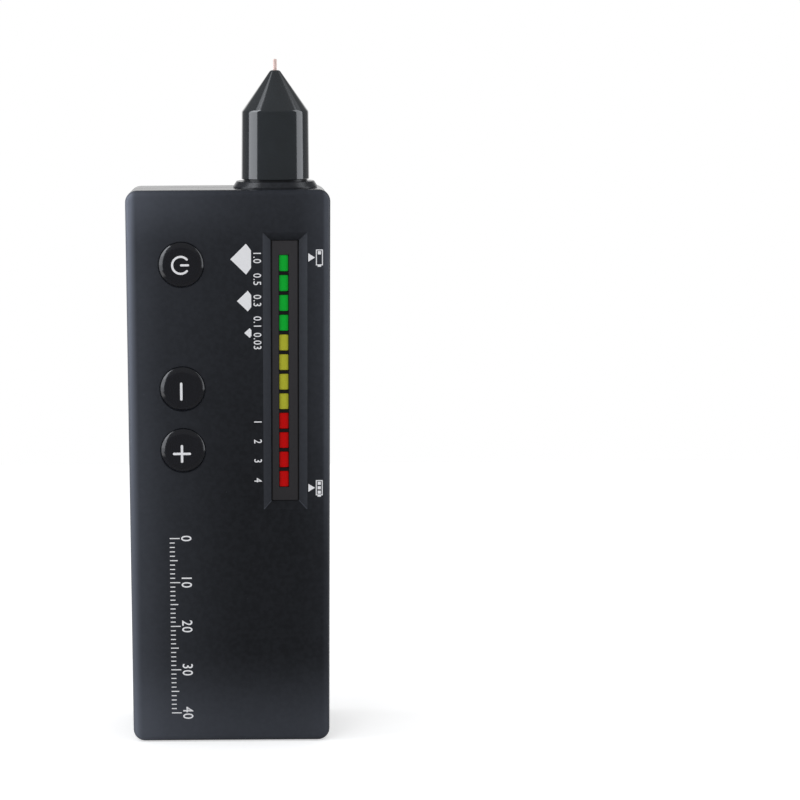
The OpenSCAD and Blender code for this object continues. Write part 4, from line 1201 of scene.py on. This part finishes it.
class TESTER_OT_front_print(bpy.types.Operator):
    """Prints the gem shapes, the scale, the arrows, the battery signs and the rule on the front"""

    bl_idname = "tester.front_print"
    bl_label = "Front print"

    # Gems: how far below the top edge each one's middle lies, its depth and its width
    GEM_RIGHT = 4.92 * MM
    GEMS = ((14.76 * MM, 4.45 * MM, 6.62 * MM), (23.8 * MM, 3.07 * MM, 4.5 * MM),
            (30.73 * MM, 1.54 * MM, 2.12 * MM))
    CROWN_SHARE = 0.24
    TABLE_SHARE = 0.57

    # Figures of the scale, with how far below the top edge each one lies
    FIGURE_X = 6.24 * MM
    FIGURE_HEIGHT = 1.68 * MM
    SCALE = (("1.0", 14.53 * MM), ("0.5", 19.1 * MM), ("0.3", 23.7 * MM), ("0.1", 28.25 * MM),
             ("0.03", 32.5 * MM))

    # Arrows, and the battery signs beside them with how many bars are filled
    ARROW_LEFT = 17.22 * MM
    ARROW_LENGTH = 1.45 * MM
    ARROW_WIDTH = 1.78 * MM
    ARROW_DROPS = (14.5 * MM, 65.0 * MM)
    CELL_X = 19.6 * MM
    CELL_WIDTH = 1.5 * MM
    CELL_LENGTH = 3.4 * MM
    CELL_LINE = 0.2 * MM
    CELL_KNOB = 0.3 * MM
    CELL_BARS = 3
    CELLS_FILLED = (1, 3)

    # Rule, with the length of the ticks at tens, fives and ones
    RULE_LEFT = -13.3 * MM
    RULE_DROP = 76.2 * MM
    RULE_STEP = 1 * MM
    RULE_STEPS = 40
    RULE_LINE = 0.22 * MM
    RULE_TICKS = {10: 2.2 * MM, 5: 1.7 * MM, 1: 1.1 * MM}
    RULE_FIGURE = 2.3 * MM
    RULE_FIGURE_LEFT = 2.5 * MM

    def gem(self, depth, width):
        """Cut stone seen from the side, its flat table to the right and its point to the left."""
        crown = depth * self.CROWN_SHARE
        table = width * self.TABLE_SHARE
        return np.array([(-depth, 0), (-crown, -width / 2), (0, -table / 2), (0, table / 2),
                         (-crown, width / 2)])

    def cell(self, bars, ink):
        """Battery sign, its knob downwards, with that many of its bars filled from the top."""
        shell = hollow(self.CELL_WIDTH, self.CELL_LENGTH, self.CELL_LINE, ink)
        knob = slab(bar(self.CELL_WIDTH / 2, self.CELL_KNOB), ink)
        step = (self.CELL_LENGTH - 2 * self.CELL_LINE) / self.CELL_BARS
        filled = slab(bar(self.CELL_WIDTH - 4 * self.CELL_LINE, step - 1.5 * self.CELL_LINE), ink)
        highest = (self.CELL_BARS - 1) / 2
        return [shell, moved(knob, 0, -(self.CELL_LENGTH + self.CELL_KNOB) / 2),
                *[moved(filled, 0, (highest - i) * step) for i in range(bars)]]

    def rule(self, ink):
        """Rule with a tick each millimetre, longer each fifth and tenth, and figures at the tenths."""
        parts = []
        for i in range(self.RULE_STEPS + 1):
            step, reach = next(tick for tick in self.RULE_TICKS.items() if i % tick[0] == 0)
            z = TOP_Z - self.RULE_DROP - i * self.RULE_STEP
            parts.append(moved(slab(bar(reach, self.RULE_LINE), ink), self.RULE_LEFT + reach / 2, z))
            if step == max(self.RULE_TICKS):
                figure = number(str(i), self.RULE_FIGURE, ink)
                u = self.RULE_LEFT + self.RULE_FIGURE_LEFT + self.RULE_FIGURE / 2
                parts.append(moved(figure, u, z, 1))
        return parts

    def execute(self, context):
        ink = sizes().ink
        gems = [moved(slab(self.gem(depth, width), ink), self.GEM_RIGHT, TOP_Z - drop)
                for drop, depth, width in self.GEMS]
        add_print("gem_marks", gems, on_front)
        scale = [moved(number(text, self.FIGURE_HEIGHT, ink), self.FIGURE_X, TOP_Z - drop, 1)
                 for text, drop in self.SCALE]
        for i in range(LAMPS_OF_A_COLOUR):
            z = middle(f"red_lamp_{i + 1}").z
            scale.append(moved(number(str(i + 1), self.FIGURE_HEIGHT, ink), self.FIGURE_X, z, 1))
        add_print("scale_figures", scale, on_front)
        half = self.ARROW_WIDTH / 2
        arrow = slab(np.array([(0, -half), (self.ARROW_LENGTH, 0), (0, half)]), ink)
        arrows = [moved(arrow, self.ARROW_LEFT, TOP_Z - drop) for drop in self.ARROW_DROPS]
        add_print("arrow_marks", arrows, on_front)
        cells = []
        for bars, drop in zip(self.CELLS_FILLED, self.ARROW_DROPS):
            cells += [moved(part, self.CELL_X, TOP_Z - drop) for part in self.cell(bars, ink)]
        add_print("cell_marks", cells, on_front)
        add_print("rule_marks", self.rule(ink), on_front)
        return {"FINISHED"}


class TESTER_OT_back_print(bpy.types.Operator):
    """Prints a touch sign beside the plate and a sound sign beside the sound holes"""

    bl_idname = "tester.back_print"
    bl_label = "Back print"

    LINE = 0.3 * MM
    WAVE_STEPS = 16
    DOT_STEPS = 24
    TOUCH_U = -18.1 * MM
    TOUCH_DROP = 33.5 * MM
    TOUCH_DOT = 0.45 * MM
    TOUCH_WAVES = (0.85 * MM, 1.5 * MM, 2.15 * MM)
    TOUCH_HALF_ANGLE = 60
    SOUND_U = -15.6 * MM
    SOUND_DROP = 79.5 * MM
    SOUND_WAVES = (0.7 * MM, 1.35 * MM)
    SOUND_HALF_ANGLE = 50
    HORN_LEFT = -1.3 * MM
    HORN_NECK = -0.7 * MM
    HORN_MOUTH = 0.1 * MM
    HORN_NECK_HALF = 0.55 * MM
    HORN_MOUTH_HALF = 1.3 * MM

    def waves(self, ink, radii, half_angle):
        """Arcs one outside the other, open to the right."""
        return [slab(ring_sector(r, r + self.LINE, -half_angle, half_angle, self.WAVE_STEPS), ink)
                for r in radii]

    def execute(self, context):
        ink = sizes().ink
        dot = slab(arc((0, 0), self.TOUCH_DOT, 0, 360, self.DOT_STEPS)[:-1], ink)
        touch = [dot, *self.waves(ink, self.TOUCH_WAVES, self.TOUCH_HALF_ANGLE)]
        lower = [(self.HORN_LEFT, -self.HORN_NECK_HALF), (self.HORN_NECK, -self.HORN_NECK_HALF),
                 (self.HORN_MOUTH, -self.HORN_MOUTH_HALF)]
        upper = [(u, -v) for u, v in reversed(lower)]
        horn = slab(np.array(lower + upper), ink)
        sound = [horn, *self.waves(ink, self.SOUND_WAVES, self.SOUND_HALF_ANGLE)]
        marks = [moved(part, self.TOUCH_U, TOP_Z - self.TOUCH_DROP) for part in touch]
        marks += [moved(part, self.SOUND_U, TOP_Z - self.SOUND_DROP) for part in sound]
        add_print("back_marks", marks, on_back)
        return {"FINISHED"}


class TESTER_OT_stage(bpy.types.Operator):
    """Sets the pale floor, the soft lights, the white surroundings and the camera"""

    bl_idname = "tester.stage"
    bl_label = "Stage"

    FLOOR_HALF = 0.3
    FLOOR_Z = -0.02 * MM
    FLOOR_COLOUR = (0.8, 0.8, 0.8)
    FLOOR_GLOW = 0.45

    # Part of the floor, at the left, that mirrors see lit
    FLOOR_LIT = 1.1
    LIT_NEAR = -0.12
    LIT_FAR = -0.19
    LIT_FRONT = -0.07
    LIT_SOFT = 0.03

    # What mirrors see of the surroundings changes between these values of a direction's Y or Z
    BEHIND_Y = (0.8, 0.97)
    REAR_Y = (0.0, 0.3)
    LOW_Z = (-0.16, -0.06)
    CEILING_Z = (0.45, 0.7)
    CEILING = 0.08

    # Upright lights: two angles in degrees, bottom, top and the share of their side's radiance
    LEFT_STRIPS = {"low_strip": (-102, -65, -0.3, 0.02, 0.65), "left_strip": (-102, -65, 0.02, 0.45, 1),
                   "middle_strip": (-102, -69, 0.45, 0.8, 1.5), "high_strip": (-102, -72, 0.8, 1.15, 1.8),
                   "top_strip": (-88, -72, 1.15, 1.6, 2), "cone_strip": (-102, -84, 1.3, 1.85, 0.5)}
    RIGHT_STRIPS = {"right_strip": (77, 106, -0.12, 1.2, 1), "rear_strip": (100, 124, 0.85, 1.4, 0.14)}
    STRIP_AWAY = 1.0

    # Light above the camera's left, and the colour of all the lights
    KEY_PLACE = (-0.55, -0.65, 0.75)
    KEY_TARGET = (0, 0, 70 * MM)
    KEY_SIZE = (0.6, 0.5)
    LIGHT_COLOUR = (0.92, 0.95, 1.0)

    # Camera
    SENSOR = 36
    CLIP_START = 0.01
    CLIP_END = 100

    def rays(self, tree):
        """1 for rays from the camera, and 1 for rays that come off a mirror or through glass."""
        path = tree.node("ShaderNodeLightPath")
        mirrored = path.output("Is Glossy Ray").most(path.output("Is Transmission Ray"))
        return path.output("Is Camera Ray"), mirrored

    def add_floor(self, stage):
        """Plain plane just under the object that shows white but keeps a shadow. Mirrors see it white
        behind the object and near the left strips, and dim on the camera's side, as they see the world."""
        square = bar(2 * self.FLOOR_HALF, 2 * self.FLOOR_HALF)
        corners = np.column_stack([square, np.full(4, self.FLOOR_Z)])
        mesh = bpy.data.meshes.new("floor")
        mesh.from_pydata(corners.tolist(), [], [[0, 1, 2, 3]])
        floor = bpy.data.objects.new("floor", mesh)
        bpy.context.scene.collection.objects.link(floor)
        finish = Finish("floor")
        camera, mirrored = self.rays(finish)
        pale = finish.node("ShaderNodeBsdfDiffuse", None, {"Color": self.FLOOR_COLOUR})
        painted_glow = finish.node("ShaderNodeEmission", None, {"Strength": self.FLOOR_GLOW})
        shown = finish.node("ShaderNodeAddShader", None, {0: pale, 1: painted_glow})
        x, y = finish.axis("X"), finish.axis("Y")
        rear = y.ramp(FRONT_Y, BACK_Y, stage.mirror, 1.0)
        beside = y.ramp(self.LIT_FRONT - self.LIT_SOFT, self.LIT_FRONT)
        lit = x.ramp(self.LIT_FAR, self.LIT_NEAR, self.FLOOR_LIT, 0.0) * beside
        in_mirror = finish.node("ShaderNodeEmission", None, {"Strength": rear.most(lit)})
        unseen = finish.node("ShaderNodeMixShader", None, {0: mirrored, 1: pale, 2: in_mirror})
        mixed = finish.node("ShaderNodeMixShader", None, {0: camera, 1: unseen, 2: shown})
        finish.feed(finish.tree.nodes["Material Output"].inputs["Surface"], mixed)
        mesh.materials.append(finish.material)

    def add_world(self, stage):
        """White for what is seen, dim on the camera's side for mirrors, and an even ambient light. Mirrors
        see white straight behind the object and low down all over the rear, and a grey ceiling."""
        world = bpy.data.worlds.new("studio")
        bpy.context.scene.world = world
        world.use_nodes = True
        tree = NodeTree(world.node_tree)
        camera, mirrored = self.rays(tree)
        outwards = tree.node("ShaderNodeTexCoord").output("Generated")
        direction = tree.node("ShaderNodeSeparateXYZ", None, {"Vector": outwards})
        y, z = direction.output("Y"), direction.output("Z")
        behind = y.ramp(*self.BEHIND_Y)
        low = y.ramp(*self.REAR_Y) * z.ramp(*self.LOW_Z, 1.0, 0.0)
        overhead = z.ramp(*self.CEILING_Z) * self.CEILING
        backdrop = stage.mirror + (1 - stage.mirror) * behind.most(low).most(overhead)
        strength = camera + (1 - camera) * (mirrored * backdrop + (1 - mirrored) * stage.ambient)
        background = world.node_tree.nodes["Background"]
        tree.feed(background.inputs["Color"], (1, 1, 1))
        tree.feed(background.inputs["Strength"], strength)

    def add_light(self, name, place, target, width, height, radiance, mirrored=True):
        """Softbox of that size that faces the target; its power is radiance * area * pi."""
        light = bpy.data.lights.new(name, "AREA")
        light.shape = "RECTANGLE"
        light.size = width
        light.size_y = height
        light.energy = radiance * width * height * math.pi
        light.color = self.LIGHT_COLOUR
        lamp = bpy.data.objects.new(name, light)
        lamp.visible_glossy = mirrored
        lamp.location = place
        lamp.rotation_mode = "QUATERNION"
        lamp.rotation_quaternion = (Vector(target) - Vector(place)).to_track_quat("-Z", "Y")
        bpy.context.scene.collection.objects.link(lamp)

    def add_strip(self, name, start, end, bottom, top, radiance):
        """Upright softbox from one height to another, over the angles from start to end, which count from
        the camera's side towards +X."""
        turn = math.radians((start + end) / 2)
        middle_z = (top + bottom) / 2
        place = (self.STRIP_AWAY * math.sin(turn), -self.STRIP_AWAY * math.cos(turn), middle_z)
        width = 2 * self.STRIP_AWAY * math.tan(math.radians((end - start) / 2))
        self.add_light(name, place, (0, 0, middle_z), width, top - bottom, radiance)

    def add_camera(self, stage):
        """Camera that looks along +Y, pitched down and leaning to its right, with a sideways shift."""
        camera = bpy.data.cameras.new("camera")
        camera.lens = stage.lens
        camera.sensor_width = self.SENSOR
        camera.shift_x = stage.shift
        camera.clip_start = self.CLIP_START
        camera.clip_end = self.CLIP_END
        holder = bpy.data.objects.new("camera", camera)
        ahead = Vector((0, math.cos(stage.pitch), -math.sin(stage.pitch)))
        up = Vector((1, 0, 0)).cross(ahead)
        across = Vector((1, 0, 0)) * math.cos(stage.roll) - up * math.sin(stage.roll)
        turn = Matrix((across, across.cross(ahead), -ahead)).transposed().to_4x4()
        place = Matrix.Translation((stage.camera_right, -stage.camera_away, stage.camera_up))
        holder.matrix_world = place @ turn
        bpy.context.scene.collection.objects.link(holder)
        bpy.context.scene.camera = holder

    def execute(self, context):
        stage = context.scene.tester_stage
        context.scene.view_settings.view_transform = "Standard"
        self.add_floor(stage)
        self.add_world(stage)
        sides = ((self.LEFT_STRIPS, stage.left_strip), (self.RIGHT_STRIPS, stage.right_strip))
        for strips, radiance in sides:
            for name, (*extent, part) in strips.items():
                self.add_strip(name, *extent, part * radiance)
        self.add_light("key_light", self.KEY_PLACE, self.KEY_TARGET, *self.KEY_SIZE, stage.key_light,
                       mirrored=False)
        self.add_camera(stage)
        return {"FINISHED"}


PIECES = (TESTER_OT_finishes, TESTER_OT_case, TESTER_OT_nozzle, TESTER_OT_probe, TESTER_OT_buttons,
          TESTER_OT_lamps, TESTER_OT_screws, TESTER_OT_front_print, TESTER_OT_back_print, TESTER_OT_stage)


class TESTER_PT_panel(bpy.types.Panel):
    """Lists the tester's settings and the operators that build it"""

    bl_idname = "TESTER_PT_panel"
    bl_label = "Gemstone tester"
    bl_space_type = "VIEW_3D"
    bl_region_type = "UI"
    bl_category = "Tester"

    def draw(self, context):
        for group in GROUPS:
            box = self.layout.box()
            settings = getattr(context.scene, group)
            for name in settings.__annotations__:
                box.prop(settings, name)
        for piece in PIECES:
            self.layout.operator(piece.bl_idname)


CLASSES = (*GROUPS.values(), *PIECES, TESTER_PT_panel)


def register():
    """Registers the classes and hangs the settings on the scene."""
    for item in CLASSES:
        bpy.utils.register_class(item)
    for name, group in GROUPS.items():
        setattr(bpy.types.Scene, name, PointerProperty(type=group))


def unregister():
    """Takes the settings and the classes away again."""
    for name in GROUPS:
        delattr(bpy.types.Scene, name)
    for item in reversed(CLASSES):
        bpy.utils.unregister_class(item)


def main():
    """Builds everything in order."""
    register()
    for piece in PIECES:
        group, name = piece.bl_idname.split(".")
        getattr(getattr(bpy.ops, group), name)()


if __name__ == "__main__":
    main()
